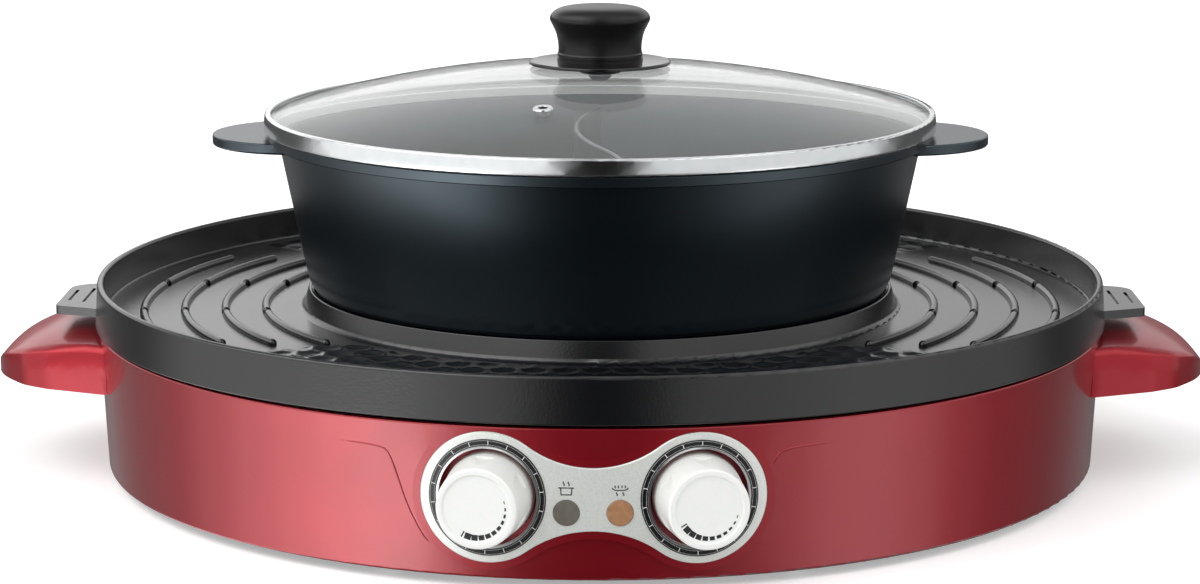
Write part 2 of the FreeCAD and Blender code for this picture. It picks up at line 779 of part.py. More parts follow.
def neon_lamps():
    lamps = []
    tip = lens_window_radius - 0.3
    for side in (-1, 1):
        bulb = turned([(0, tip - neon_length), (neon_radius, tip - neon_length, 0.5),
                       (neon_radius, tip, 2.4), (0, tip)])
        leads = [cylinder(0.4, tip - neon_length - 8, tip - neon_length + 1, s * 1.4) for s in (-1, 1)]
        lamps.append(facing_out(joined([bulb] + leads), side * lamp_angle, lamp_height))
    return Part.makeCompound(lamps)


def thermostat(side):
    back = pocket_floor_radius - pocket_wall
    case = Part.makeBox(thermostat_width, thermostat_height, thermostat_depth,
                        vec(-thermostat_width / 2, -thermostat_height / 2, back - thermostat_depth))
    case = case.makeChamfer(2.0, [e for e in case.Edges if abs(e.tangentAt(0).z) > 0.99])
    bush = cylinder(bush_radius, back - 0.5, pocket_floor_radius + nut_thickness + 1)
    body = [case, bush]
    for x in (-thermostat_blade_spacing, 0.0, thermostat_blade_spacing):
        body.append(Part.makeBox(blade_width, blade_thickness, blade_length + 0.5,
                                 vec(x - blade_width / 2, -8, back - thermostat_depth - blade_length)))
    body = joined(body)
    body = body.cut(cylinder(shaft_radius + shaft_clearance, back - 8, pocket_floor_radius + 20))
    return facing_out(body, side * dial_angle, dial_height)


def thermostat_nuts():
    nuts = []
    corner = nut_across_flats / math.sqrt(3)
    for side in (-1, 1):
        outline = [(corner * math.cos(math.radians(60 * i)), corner * math.sin(math.radians(60 * i)))
                   for i in range(6)]
        nut = plan_prism(outline, pocket_floor_radius, pocket_floor_radius + nut_thickness)
        nut = nut.cut(cylinder(bush_radius + 0.05, 0, pocket_floor_radius + 20))
        nuts.append(facing_out(nut, side * dial_angle, dial_height))
    return Part.makeCompound(nuts)


knob_foot_radius = pocket_floor_radius + knob_floor_gap
knob_front_radius = panel_radius + knob_proud
knob_cap = 2.6
flat_start = pocket_floor_radius + nut_thickness + 3


def shaft_flat():
    """What the D flat takes off the shaft."""
    half = knob_base_radius
    return Part.makeBox(2 * half, half, knob_front_radius - flat_start,
                        vec(-half, shaft_radius - shaft_flat_depth, flat_start))


def thermostat_shaft(side):
    shaft = turned([
        (0, pocket_floor_radius - pocket_wall - 7), (shaft_radius, pocket_floor_radius - pocket_wall - 7),
        (shaft_radius, knob_front_radius - knob_cap - 0.5, 0.4), (0, knob_front_radius - knob_cap - 0.5)])
    return facing_out(shaft.cut(shaft_flat()), side * dial_angle, dial_height)


def knob(side):
    outside = turned([
        (0, knob_foot_radius), (knob_base_radius, knob_foot_radius, 0.4),
        (knob_face_radius, knob_front_radius, 1.0), (knob_face_radius - 2.2, knob_front_radius, 0.4),
        (knob_face_radius - 2.8, knob_front_radius - 0.7, 0.3), (0, knob_front_radius - 0.7)])
    grips = []
    for i in range(knob_flat_count):
        angle = math.radians(360.0 / knob_flat_count * (i + 0.5))
        place = (knob_base_radius + knob_face_radius) / 2 - knob_flat_depth + knob_flat_radius
        grips.append(cylinder(knob_flat_radius, knob_foot_radius + 9, knob_front_radius - 1.4,
                              place * math.cos(angle), place * math.sin(angle)))
    inner_base = knob_base_radius - knob_wall
    inner_face = knob_face_radius - knob_wall - knob_flat_depth
    hollow = turned([
        (0, knob_foot_radius - 1), (inner_base, knob_foot_radius - 1),
        (inner_face, knob_front_radius - knob_cap, 1.0), (0, knob_front_radius - knob_cap)])
    hub = cylinder(knob_hub_radius, pocket_floor_radius + nut_thickness + 1.8,
                   knob_front_radius - knob_cap + 0.5)
    bore = cylinder(shaft_radius + shaft_clearance, 0, knob_front_radius - knob_cap - 0.3)
    bore = bore.cut(shaft_flat().translated(vec(0, shaft_clearance, 0)))
    body = cut_all(outside, grips).cut(hollow)
    body = joined([body, hub]).cut(bore)
    return facing_out(body, side * dial_angle, dial_height)


# ---------------------------------------------------------------------------------------------
# Power inlet
# ---------------------------------------------------------------------------------------------
def inlet_outline(width, height, chamfer):
    """Upright rectangle with its two upper corners cut off."""
    half, low, high = width / 2, inlet_height - height / 2, inlet_height + height / 2
    return [(-half, low, 1.0), (half, low, 1.0), (half, high - chamfer), (half - chamfer, high),
            (-half + chamfer, high), (-half, high - chamfer)]


def inlet_socket():
    face_y = inlet_block_reach + inlet_flange_thickness
    flange = front_prism(rectangle(inlet_flange_width, inlet_flange_height, inlet_height, 6.0),
                         inlet_block_reach, face_y)
    body = front_prism(rectangle(inlet_body_width, inlet_body_height, inlet_height, 1.0),
                       inlet_block_reach - inlet_body_depth, inlet_block_reach + 0.5)
    cavity = front_prism(inlet_outline(inlet_cavity_width, inlet_cavity_height, inlet_chamfer),
                         face_y - inlet_cavity_depth, face_y + 1)
    cuts = [cavity]
    for x, z in pin_places():
        cuts.append(Part.makeBox(pin_thickness + 0.1, inlet_body_depth + 10, pin_width + 0.1,
                                 vec(x - pin_thickness / 2 - 0.05, inlet_block_reach - inlet_body_depth - 5,
                                     z - pin_width / 2 - 0.05)))
    for s in (-1, 1):
        cuts.append(Part.makeCylinder(1.8, 20, vec(s * inlet_screw_spacing / 2, inlet_block_reach - 5,
                                                   inlet_height), vec(0, 1, 0)))
    return cut_all(joined([flange, body]), cuts)


def pin_places():
    return [(-pin_spacing / 2, inlet_height - pin_offset), (pin_spacing / 2, inlet_height - pin_offset),
            (0.0, inlet_height + pin_offset)]


def inlet_pins():
    pins = []
    tip_y = inlet_block_reach + inlet_flange_thickness - pin_recess
    tail_y = inlet_block_reach - inlet_body_depth - 7
    for x, z in pin_places():
        pin = Part.makeBox(pin_thickness, tip_y - tail_y, pin_width,
                           vec(x - pin_thickness / 2, tail_y, z - pin_width / 2))
        ends = [e for e in pin.Edges
                if abs(e.CenterOfMass.y - tip_y) < 0.01 and abs(e.tangentAt(0).z) > 0.99]
        pins.append(pin.makeChamfer(0.6, ends))
    return Part.makeCompound(pins)


def inlet_screws():
    screws = []
    for s in (-1, 1):
        screw = pan_head_screw(inlet_screw_length, screw_radius, 3.0, 1.8)
        screw.rotate(origin, vec(1, 0, 0), 90)
        screw.translate(vec(s * inlet_screw_spacing / 2, inlet_block_reach + inlet_flange_thickness,
                            inlet_height))
        screws.append(screw)
    return Part.makeCompound(screws)


def terminal_block():
    """Four-way ceramic block on the cover, in front of the inlet."""
    y = terminal_block_y
    width, depth, height = terminal_block_width, terminal_block_depth, terminal_block_height
    low = cover_top_z + cover_rib_height
    body = Part.makeBox(width, depth, height, vec(-width / 2, y - depth / 2, low))
    foot = Part.makeBox(width - 14, depth - 6, cover_rib_height + 0.5, vec(7 - width / 2, y + 3 - depth / 2,
                                                                          cover_top_z))
    places = [terminal_spacing * (i - 1.5) for i in range(4)]
    ways = [cylinder(2.4, low + height / 2 + 2, low + height + 1, x, y) for x in places]
    entries = [Part.makeCylinder(1.9, depth + 2, vec(x, y - depth / 2 - 1, low + 5), vec(0, 1, 0))
               for x in places]
    return cut_all(joined([body, foot]), ways + entries)


# ---------------------------------------------------------------------------------------------
# Reflector pan and heaters
# ---------------------------------------------------------------------------------------------
def element_end_angles():
    return (90 + element_gap_angle, 90 - element_gap_angle + 360)


def polar(radius, degrees, z):
    return vec(radius * math.cos(math.radians(degrees)), radius * math.sin(math.radians(degrees)), z)


def element_terminal_places():
    """Where the tube's two ends turn down through the pan, clockwise of the tube's own start."""
    backward = polar(1, element_end_angles()[0] - 90, 0) * element_end_bend
    return [polar(circle, element_end_angles()[0], 0) + backward
            for circle in (element_outer_circle, element_inner_circle)]


def hotplate_terminal_places():
    return [polar(hotplate_ring_circle, 90 + s * hotplate_terminal_angle, 0) for s in (-1, 1)]


def reflector_pan():
    wall = ledge_inner_radius - pan_wall_gap
    flange = shell_radius(ledge_top_z) - shell_wall - pan_flange_gap
    pan = turned([
        (0, pan_under_z), (wall, pan_under_z, 3.0), (wall, ledge_top_z), (flange, ledge_top_z),
        (flange, pan_flange_top_z), (wall - pan_sheet, pan_flange_top_z, 0.6),
        (wall - pan_sheet, pan_floor_z, 2.4), (0, pan_floor_z)])
    cuts = around(cylinder(screw_hole_radius, 0, 80, pillar_circle), pillar_count, 45)
    cuts += around(cylinder(screw_hole_radius, 0, 80, hotplate_leg_circle), hotplate_leg_count, 30)
    for place in element_terminal_places() + hotplate_terminal_places():
        cuts.append(cylinder(element_radius + terminal_hole_gap, 0, 80, place.x, place.y))
    return cut_all(pan, cuts)


def pan_screws():
    first = pan_head_screw(pan_screw_length).translated(vec(pillar_circle, 0, 0))
    screws = []
    for screw in around(first, pillar_count, 45):
        screw.rotate(origin, vec(1, 0, 0), 180)
        screw.translate(vec(0, 0, pan_floor_z))
        screws.append(screw)
    return Part.makeCompound(screws)


def grill_element():
    """One bent tube: out round the outer circle, a hairpin, back round the inner circle, both ends down."""
    z = pan_floor_z + element_height
    first, last = element_end_angles()
    turn = (element_outer_circle - element_inner_circle) / 2
    middle = (first + last) / 2
    rings = []
    for circle, start, end in ((element_outer_circle, first, last), (element_inner_circle, last, first)):
        ring = Part.Arc(polar(circle, start, z), polar(circle, middle, z), polar(circle, end, z))
        rings.append(ring.toShape())
    hairpin_peak = polar(element_inner_circle + turn, last, z) + polar(turn, last + 90, 0)
    hairpin = Part.Arc(polar(element_outer_circle, last, z), hairpin_peak,
                       polar(element_inner_circle, last, z)).toShape()
    body = [swept_tube([rings[0], hairpin, rings[1]], element_radius)]
    backward = polar(1, first - 90, 0)
    bend = element_end_bend
    for circle in (element_outer_circle, element_inner_circle):
        start = polar(circle, first, z)
        eighth = math.pi / 4
        quarter = start + backward * (bend * math.sin(eighth)) - up * (bend * (1 - math.cos(eighth)))
        low = start + backward * bend - up * bend
        down = Part.LineSegment(low, vec(low.x, low.y, pan_floor_z - terminal_drop)).toShape()
        body.append(swept_tube([Part.Arc(start, quarter, low).toShape(), down], element_radius))
    return joined(body)


def element_cradles():
    """Sheet brackets that hold both rings of the tube above the pan."""
    z = pan_floor_z + element_height
    inside = element_radius + fixed_gap
    saddle_radius = inside + cradle_sheet
    low, high = element_inner_circle - cradle_overhang, element_outer_circle + cradle_overhang
    strip = Part.makeBox(high - low, cradle_width, cradle_sheet, vec(low, -cradle_width / 2, pan_floor_z))
    body = [strip]
    hollows = []
    for circle in (element_inner_circle, element_outer_circle):
        saddle = Part.makeCylinder(saddle_radius, cradle_width, vec(circle, -cradle_width / 2, z),
                                   vec(0, 1, 0))
        above = Part.makeBox(2 * saddle_radius + 2, cradle_width + 2, saddle_radius + 1,
                             vec(circle - saddle_radius - 1, -cradle_width / 2 - 1, z))
        body.append(saddle.cut(above))
        body.append(Part.makeBox(2, cradle_width, element_height - inside,
                                 vec(circle - 1, -cradle_width / 2, pan_floor_z)))
        hollows.append(Part.makeTorus(circle, inside, vec(0, 0, z), up))
    cradle = cut_all(joined(body), hollows)
    return Part.makeCompound(around(cradle, cradle_count, -90))


def hotplate():
    z = hotplate_under_z
    groove, half = hotplate_groove_circle, hotplate_groove_width / 2
    plate = turned([
        (0, z), (hotplate_radius - 3, z), (hotplate_radius, z + 2, 1.0),
        (hotplate_radius, hotplate_top_z, 1.2),
        (groove + half, hotplate_top_z), (groove + half / 3, hotplate_top_z - 0.5),
        (groove - half / 3, hotplate_top_z - 0.5), (groove - half, hotplate_top_z),
        (0, hotplate_top_z)])
    ring = Part.makeTorus(hotplate_ring_circle, hotplate_ring_radius, vec(0, 0, hotplate_ring_z), up)
    legs = around(cylinder(hotplate_leg_radius, pan_floor_z, z + 1, hotplate_leg_circle),
                  hotplate_leg_count, 30)
    top_cut = Part.makeBox(400, 400, 20, vec(-200, -200, hotplate_top_z))
    plate = joined([plate, ring.cut(top_cut)] + legs)
    pilots = around(cylinder(screw_radius, 0, pan_under_z + hotplate_screw_length + pilot_spare,
                             hotplate_leg_circle), hotplate_leg_count, 30)
    sockets = [cylinder(hotplate_stem_radius + fixed_gap, 0, hotplate_stem_top_z + fixed_gap, p.x, p.y)
               for p in hotplate_terminal_places()]
    return cut_all(plate, pilots + sockets)


def hotplate_screws():
    screw = pan_head_screw(hotplate_screw_length).translated(vec(hotplate_leg_circle, 0, pan_under_z))
    return Part.makeCompound(around(screw, hotplate_leg_count, 30))


def blade(x, y, high):
    """Flat push-on terminal hanging from a cold end."""
    return Part.makeBox(blade_width, blade_thickness, blade_length,
                        vec(x - blade_width / 2, y - blade_thickness / 2, high - blade_length))


def heater_terminals():
    """Ceramic-collared stems of the pot's heating plate, and blades on all four cold ends."""
    low = pan_floor_z - terminal_drop
    pieces = [blade(p.x, p.y, low) for p in element_terminal_places()]
    for place in hotplate_terminal_places():
        stem = cylinder(hotplate_stem_radius, low, hotplate_stem_top_z, place.x, place.y)
        pieces.append(joined([stem, blade(place.x, place.y, low + 0.5)]))
    return Part.makeCompound(pieces)


# ---------------------------------------------------------------------------------------------
# Grill plate
# ---------------------------------------------------------------------------------------------
def ridge_segment(circle, start, end):
    """Round rod sunk in the floor from one angle to another, with ball ends."""
    height = tray_z + ridge_height - ridge_radius
    section = Part.Circle(vec(circle, 0, height), vec(0, 1, 0), ridge_radius).toShape()
    section = Part.Face(Part.Wire(section))
    rod = turned_about_axis(section.revolve(origin, up, end - start), start)
    return joined([rod] + [Part.makeSphere(ridge_radius, polar(circle, a, height)) for a in (start, end)])


def ridges():
    pieces = []
    for i in range(ridge_count):
        circle = collar_top_radius + ridge_collar_gap + i * ridge_pitch
        end = math.degrees(math.asin(ridge_half_length / circle))
        middle = math.degrees(math.asin(ridge_break_offset / circle))
        gap = math.degrees((ridge_break_gap / 2 + ridge_radius) / circle)
        for centre in (0, 180):
            for start, stop in ((-end, -middle - gap), (-middle + gap, middle - gap), (middle + gap, end)):
                pieces.append(ridge_segment(circle, centre + start, centre + stop))
    return pieces


def plate_ear(side):
    """Lifting ear: wider at its root, with a small front corner and a large back corner."""
    root = rim_radius - rim_wall / 2
    slope = (ear_root_half - ear_tip_half) / (ear_reach - rim_radius)
    root_half = ear_root_half + slope * (rim_radius - root)
    high = rim_top_z - ear_drop
    outline = [(side * root, -root_half), (side * ear_reach, -ear_tip_half, ear_front_corner),
               (side * ear_reach, ear_tip_half, ear_back_corner), (side * root, root_half)]
    ear = plan_prism(outline, high - ear_thickness, high)
    grooves = []
    for inset, half in ((4.0, 11.5), (10.7, 15.0)):
        x = side * (ear_reach - inset)
        outline = [(x - ear_groove_width / 2, -half, 0.6), (x + ear_groove_width / 2, -half, 0.6),
                   (x + ear_groove_width / 2, half, 0.6), (x - ear_groove_width / 2, half, 0.6)]
        grooves.append(plan_prism(outline, high - ear_groove_depth, high + 1))
    return cut_all(ear, grooves)


def grill_plate():
    outer_foot = rim_radius + rim_flare
    inner = rim_radius - rim_wall
    foot_low = pan_flange_top_z + seat_gap
    lip_inner = collar_top_radius - collar_lip
    funnel_top_z = collar_top_z - funnel_top_drop
    funnel_foot_z = collar_top_z - funnel_foot_drop
    profile = [
        (inner, tray_z, 1.5), (inner, rim_top_z, 1.3), (rim_radius, rim_top_z, 1.3),
        (outer_foot, skirt_foot_z, 0.6), (outer_foot - 3.0, skirt_foot_z), (outer_foot - 3.3, tray_under_z),
        (plate_foot_radius, tray_under_z), (plate_foot_radius, foot_low, 0.6),
        (plate_foot_radius - plate_foot_width, foot_low, 0.6),
        (plate_foot_radius - plate_foot_width, tray_under_z),
        (collar_top_radius + 0.6, tray_under_z), (collar_top_radius - 2.2, funnel_foot_z + 1.6, 0.8),
        (funnel_foot_radius + 2.4, funnel_foot_z - 2.4, 0.8), (funnel_foot_radius + 1.6, tray_under_z),
        (plate_hole_radius, tray_under_z, 0.6), (plate_hole_radius, funnel_foot_z - 0.6),
        (funnel_foot_radius, funnel_foot_z, 0.6), (funnel_top_radius, funnel_top_z),
        (funnel_top_radius, collar_top_z - collar_step), (lip_inner, collar_top_z - collar_step),
        (lip_inner, collar_top_z, 0.4), (collar_top_radius, collar_top_z, 0.5),
        (collar_base_radius, tray_z, 2.5),
    ]
    ears = [plate_ear(-1), plate_ear(1)]
    return joined([turned(profile)] + ears + ridges())


# ---------------------------------------------------------------------------------------------
# Pot
# ---------------------------------------------------------------------------------------------
def pot_inside():
    """Space inside the pot's wall, up to its rim."""
    low = pot_foot_z + pot_floor
    seat_z = pot_top_z - pot_seat_depth
    return turned([
        (0, low), (pot_radius(low) - pot_wall, low, pot_corner_radius - pot_wall),
        (pot_radius(seat_z) - pot_wall, seat_z), (pot_seat_radius, seat_z, 0.4),
        (pot_seat_radius, pot_top_z + 1), (0, pot_top_z + 1)])


def divider():
    """S-shaped wall across the pot, made of two tangent arcs."""
    end = pot_seat_radius
    half = divider_thickness / 2
    low = pot_foot_z + 1
    arcs = []
    for offset in (-half, half):
        mid_front = vec(divider_bow + offset, -end / 2, low)
        mid_back = vec(-divider_bow + offset, end / 2, low)
        arcs.append((Part.Arc(vec(offset, -end, low), mid_front, vec(offset, 0, low)).toShape(),
                     Part.Arc(vec(offset, 0, low), mid_back, vec(offset, end, low)).toShape()))
    close_back = Part.LineSegment(vec(-half, end, low), vec(half, end, low)).toShape()
    close_front = Part.LineSegment(vec(half, -end, low), vec(-half, -end, low)).toShape()
    wire = Part.Wire([arcs[0][0], arcs[0][1], close_back, arcs[1][1], arcs[1][0], close_front])
    high = pot_top_z - divider_drop
    wall = Part.Face(wire).extrude(vec(0, 0, high - low))
    crest = [e for e in wall.Edges if abs(e.CenterOfMass.z - high) < 0.01 and e.Length > 20]
    wall = wall.makeFillet(divider_thickness * 0.4, crest)
    keep = turned([
        (0, low), (pot_radius(low) - pot_wall / 2, low, pot_corner_radius - pot_wall / 2),
        (pot_radius(pot_top_z) - pot_wall / 2, pot_top_z), (0, pot_top_z)])
    return wall.common(keep)


def pot():
    band_z = pot_top_z - pot_band_height
    outside = turned([
        (0, pot_foot_z), (pot_wall_foot_radius, pot_foot_z, pot_corner_radius),
        (pot_wall_top_radius, band_z, 0.5), (pot_rim_radius - 0.4, band_z, 0.5),
        (pot_rim_radius, pot_top_z, 0.6), (0, pot_top_z)])
    ear_top = pot_top_z - pot_ear_drop
    solids = [outside]
    for side in (-1, 1):
        disc = turned([
            (0, ear_top - pot_ear_thickness), (pot_ear_radius, ear_top - pot_ear_thickness, 0.8),
            (pot_ear_radius, ear_top, 0.8), (0, ear_top)])
        disc.translate(vec(side * pot_ear_centre, 0, 0))
        solids.append(disc)
    body = joined(solids).cut(pot_inside())
    return joined([body, divider()])


# ---------------------------------------------------------------------------------------------
# Lid
# ---------------------------------------------------------------------------------------------
def lid_band():
    """Folded steel band: hem over the glass, outer wall, flange under the glass, skirt into the pot."""
    low, high = band_foot_z, band_top_z
    hem = band_radius - band_hem
    skirt_out, skirt_in = band_skirt_radius, band_skirt_radius - band_sheet
    skirt_low = low - band_skirt_depth
    return turned([
        (band_radius, low, 0.5), (band_radius, high, 0.7), (hem, high, 0.3), (hem, high - band_sheet),
        (band_radius - band_sheet, high - band_sheet), (band_radius - band_sheet, low + band_sheet),
        (skirt_in, low + band_sheet, 0.6), (skirt_in, skirt_low), (skirt_out, skirt_low), (skirt_out, low)])


def lid_gasket():
    low = gasket_foot_z
    high = glass_edge_z - glass_thickness - 0.1
    inner, outer = band_skirt_radius + 0.6, band_radius - band_sheet - 0.2
    return turned([
        (inner, low), (outer, low), (outer, high), (glass_edge_radius - 0.7, high),
        (inner, glass_under_z(inner) - 0.1)])


def eyelet_frame(shape):
    """Place a shape drawn along +Z at the vent, square to the glass."""
    tilt = math.degrees(math.asin(eyelet_circle / glass_radius))
    copy = shape.copy()
    copy.translate(vec(0, 0, glass_radius))
    copy.rotate(origin, vec(0, 1, 0), tilt)
    copy.rotate(origin, up, eyelet_angle)
    copy.translate(vec(0, 0, glass_centre_z))
    return copy


def lid_glass():
    ball = Part.makeSphere(glass_radius, vec(0, 0, glass_centre_z))
    hollow = Part.makeSphere(glass_radius - glass_thickness, vec(0, 0, glass_centre_z))
    keep = cylinder(glass_edge_radius, glass_edge_z - glass_thickness, glass_top_z + 1)
    cap = ball.common(keep).cut(hollow)
    screw_hole = cylinder(lid_screw_radius + 1.0, glass_top_z - 10, glass_top_z + 5)
    vent_hole = eyelet_frame(cylinder(eyelet_tube_radius + fixed_gap, -10, 5))
    return cut_all(cap, [screw_hole, vent_hole])


def vent_eyelet():
    low = -glass_thickness - 1.0
    flange = 0.1
    ring = turned([
        (eyelet_bore_radius, low), (eyelet_tube_radius, low), (eyelet_tube_radius, flange),
        (eyelet_flange_radius, flange), (eyelet_flange_radius - 0.3, flange + eyelet_sheet, 0.2),
        (eyelet_bore_radius, flange + eyelet_sheet, 0.3)])
    return eyelet_frame(ring)


def knob_disc():
    under = glass_top_z
    return turned([
        (lid_screw_radius + 0.3, under), (disc_seat_radius, under), (disc_seat_radius + 1, under + 0.5),
        (disc_radius, under + 0.3, 0.2), (disc_radius, disc_top_z - 0.2, 0.7),
        (lid_knob_foot_radius + 0.5, disc_top_z), (lid_screw_radius + 0.3, disc_top_z)])


def lid_knob():
    """Phenolic knob: stepped foot, waisted neck, crowned cap."""
    low, high = disc_top_z, knob_top_z
    cap, neck, foot = lid_knob_radius, lid_knob_neck_radius, lid_knob_foot_radius
    side = [(neck + 0.1, 0.15), (neck, 0.24), (neck + 0.3, 0.36), (neck + 1.0, 0.49), (neck + 2.0, 0.59),
            (cap - 0.7, 0.67), (cap, 0.745), (cap - 0.3, 0.81), (cap - 1.5, 0.875), (cap - 4.4, 0.94),
            (cap * 0.65, 0.968), (cap * 0.46, 0.986), (cap * 0.25, 0.996), (0.0, 1.0)]
    flare = Part.BSplineCurve()
    flare.interpolate([vec(r, 0, low + share * (high - low)) for r, share in side])
    start = flare.StartPoint
    steps = [vec(0, 0, high), vec(0, 0, low), vec(foot, 0, low), vec(foot, 0, low + 1.1),
             vec(foot - 0.5, 0, low + 1.3), vec(foot - 0.5, 0, low + 1.8), vec(foot - 0.1, 0, low + 2.0),
             vec(foot - 0.1, 0, low + 2.9), start]
    edges = [Part.LineSegment(a, b).toShape() for a, b in zip(steps, steps[1:])]
    body = Part.Face(Part.Wire(edges + [flare.toShape()])).revolve(origin, up, 360)
    return body.cut(cylinder(lid_screw_radius, low - 1, lid_screw_seat_z + lid_screw_length + pilot_spare))


def lid_washer():
    top = glass_top_z - glass_thickness
    return turned([
        (lid_screw_radius + 0.3, top - lid_washer_thickness, 0.2),
        (lid_washer_radius - 0.6, top - lid_washer_thickness, 0.3),
        (lid_washer_radius, top - 0.3), (lid_screw_radius + 0.3, top - 0.1)])


def lid_screw():
    screw = pan_head_screw(lid_screw_length, lid_screw_radius, 5.0, 2.8)
    screw.translate(vec(0, 0, lid_screw_seat_z))
    return screw


# ---------------------------------------------------------------------------------------------
# Write the nodes
# ---------------------------------------------------------------------------------------------
os.makedirs("parts", exist_ok=True)
save("base_shell", base_shell())
save("bottom_cover", bottom_cover())
save("rubber_feet", rubber_feet())
save("cover_screws", cover_screws())
save("wing_handle_left", wing_handle(-1))
save("wing_handle_right", wing_handle(1))
save("wing_screws", wing_screws())
save("control_panel", control_panel())
for name, side in (("hotpot", -1), ("grill", 1)):
    save("dial_ring_" + name, curved_ring(dial_inner_radius, dial_outer_radius, side))
    save("dial_trim_" + name, curved_ring(trim_inner_radius, trim_outer_radius, side))
    save("lamp_lens_" + name, lamp_lens(side))
    save("thermostat_" + name, thermostat(side))
    save("shaft_" + name, thermostat_shaft(side))
    save("knob_" + name, knob(side))
save("neon_lamps", neon_lamps())
save("thermostat_nuts", thermostat_nuts())
save("inlet_socket", inlet_socket())
save("inlet_pins", inlet_pins())
save("inlet_screws", inlet_screws())
save("terminal_block", terminal_block())
save("reflector_pan", reflector_pan())
save("pan_screws", pan_screws())
save("grill_element", grill_element())
save("element_cradles", element_cradles())
save("hotplate", hotplate())
save("hotplate_screws", hotplate_screws())
save("heater_terminals", heater_terminals())
save("grill_plate", grill_plate())
save("pot", pot())
save("lid_band", lid_band())
save("lid_gasket", lid_gasket())
save("lid_glass", lid_glass())
save("vent_eyelet", vent_eyelet())
save("knob_disc", knob_disc())
save("lid_knob", lid_knob())
save("lid_washer", lid_washer())
save("lid_screw", lid_screw())
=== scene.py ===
import math
import bmesh
import bpy
from mathutils import Matrix, Vector


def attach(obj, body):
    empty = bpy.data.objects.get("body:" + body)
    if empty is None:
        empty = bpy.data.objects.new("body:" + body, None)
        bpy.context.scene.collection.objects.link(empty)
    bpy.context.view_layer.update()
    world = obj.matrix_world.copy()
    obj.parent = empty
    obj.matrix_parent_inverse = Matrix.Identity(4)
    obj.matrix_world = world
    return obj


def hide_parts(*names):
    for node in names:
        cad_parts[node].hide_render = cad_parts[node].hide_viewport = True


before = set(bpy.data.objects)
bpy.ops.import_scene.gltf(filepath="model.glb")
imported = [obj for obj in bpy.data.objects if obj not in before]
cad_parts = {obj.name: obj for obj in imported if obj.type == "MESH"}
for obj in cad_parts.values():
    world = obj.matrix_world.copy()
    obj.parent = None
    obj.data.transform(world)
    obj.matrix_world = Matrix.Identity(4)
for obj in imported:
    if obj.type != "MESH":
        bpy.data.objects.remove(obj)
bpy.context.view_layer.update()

# ---------------------------------------------------------------------------------------------
# Studio
# A pale floor and a white back, a soft box on the left, a weaker one on the right, and a soft
# light high in front. The low front is dark, which gives the round base its deep middle tone.
# ---------------------------------------------------------------------------------------------
scene = bpy.context.scene
scene.view_settings.view_transform = "Standard"


def add(tree, kind, inputs=None, **settings):
    """One node: its properties from settings, its sockets from values or other nodes' outputs."""
    node = tree.nodes.new(kind)
    for name, value in settings.items():
        setattr(node, name, value)
    for key, value in (inputs or {}).items():
        if isinstance(value, bpy.types.NodeSocket):
            tree.links.new(value, node.inputs[key])
        else:
            node.inputs[key].default_value = value
    return node


def colour(code, alpha=1.0):
    """Linear colour of an sRGB hex code."""
    parts = [int(code[i:i + 2], 16) / 255 for i in (1, 3, 5)]
    return [c / 12.92 if c <= 0.04045 else ((c + 0.055) / 1.055) ** 2.4 for c in parts] + [alpha]


box_levels = (   # degrees from the front, left negative, and the brightness there
    (-180, 0.10), (-150, 0.30), (-129, 0.26), (-111, 0.35), (-96, 0.95), (-83, 1.85), (-71, 2.8),
    (-60, 3.9), (-50, 4.9), (-43, 4.9), (-36, 2.9), (-27, 0.7), (-15, 0.13), (-6, 0.04), (8, 0.04),
    (20, 0.14), (35, 0.5), (45, 1.0), (54, 1.5), (66, 1.5), (77, 1.0), (89, 0.35), (102, 0.14),
    (118, 0.14), (145, 0.22), (180, 0.10))
peak_level = 5.5
low_box_share = 0.6       # how bright the boxes still are low down, and how far round they sit there
low_box_spread = 0.55
left_screen_level = 1.28  # a white screen low round the front, with a gap in its middle
right_screen_level = 0.95
screen_end_level = 0.10
back_left_level = 1.55
back_right_level = 1.05
high_left_level = 3.2
high_middle_level = 0.5
high_right_level = 1.6
high_back_level = 0.35
overhead_level = 0.9
under_level = 0.35
low_fade = (-0.40, -0.52)     # where one level fades into the next: heights, as sines of the angle
screen_fade = (-0.20, -0.12)  # above the horizon
back_fade = (0.07, 0.14)
high_fade = (0.34, 0.62)
overhead_fade = (0.88, 0.97)
under_fade = (-0.62, -0.80)
gap_middle = 0.6              # angles, in degrees from the front
gap_edge = (8.5, 19.5)
screen_end = (98, 122)
back_edge = (100, 125)
high_middle_edge = (8, 38)
screen_blend = (-28.65, 28.65)
high_blend = (-40.1, 40.1)
back_blend = (-0.2, 0.2)      # a sine, from left to right

world = bpy.data.worlds.new("studio")
scene.world = world
world.use_nodes = True
tree = world.node_tree
tree.nodes.clear()
ray = add(tree, "ShaderNodeTexCoord").outputs["Generated"]
axis = add(tree, "ShaderNodeSeparateXYZ", {0: ray}).outputs
to_front = add(tree, "ShaderNodeMath", {0: axis["Y"], 1: -1.0}, operation="MULTIPLY").outputs[0]
turn = add(tree, "ShaderNodeMath", {0: axis["X"], 1: to_front}, operation="ARCTAN2").outputs[0]
turn = add(tree, "ShaderNodeMath", {0: turn}, operation="DEGREES").outputs[0]
aside = add(tree, "ShaderNodeMath", {0: turn}, operation="ABSOLUTE").outputs[0]


def fading(before, after, value, edge):
    """One level that gives way smoothly to another, as a value of the direction crosses an edge."""
    share = add(tree, "ShaderNodeMapRange", {0: value, 1: edge[0], 2: edge[1]},
                interpolation_type="SMOOTHSTEP").outputs[0]
    return add(tree, "ShaderNodeMix", {0: share, 2: before, 3: after}).outputs[0]


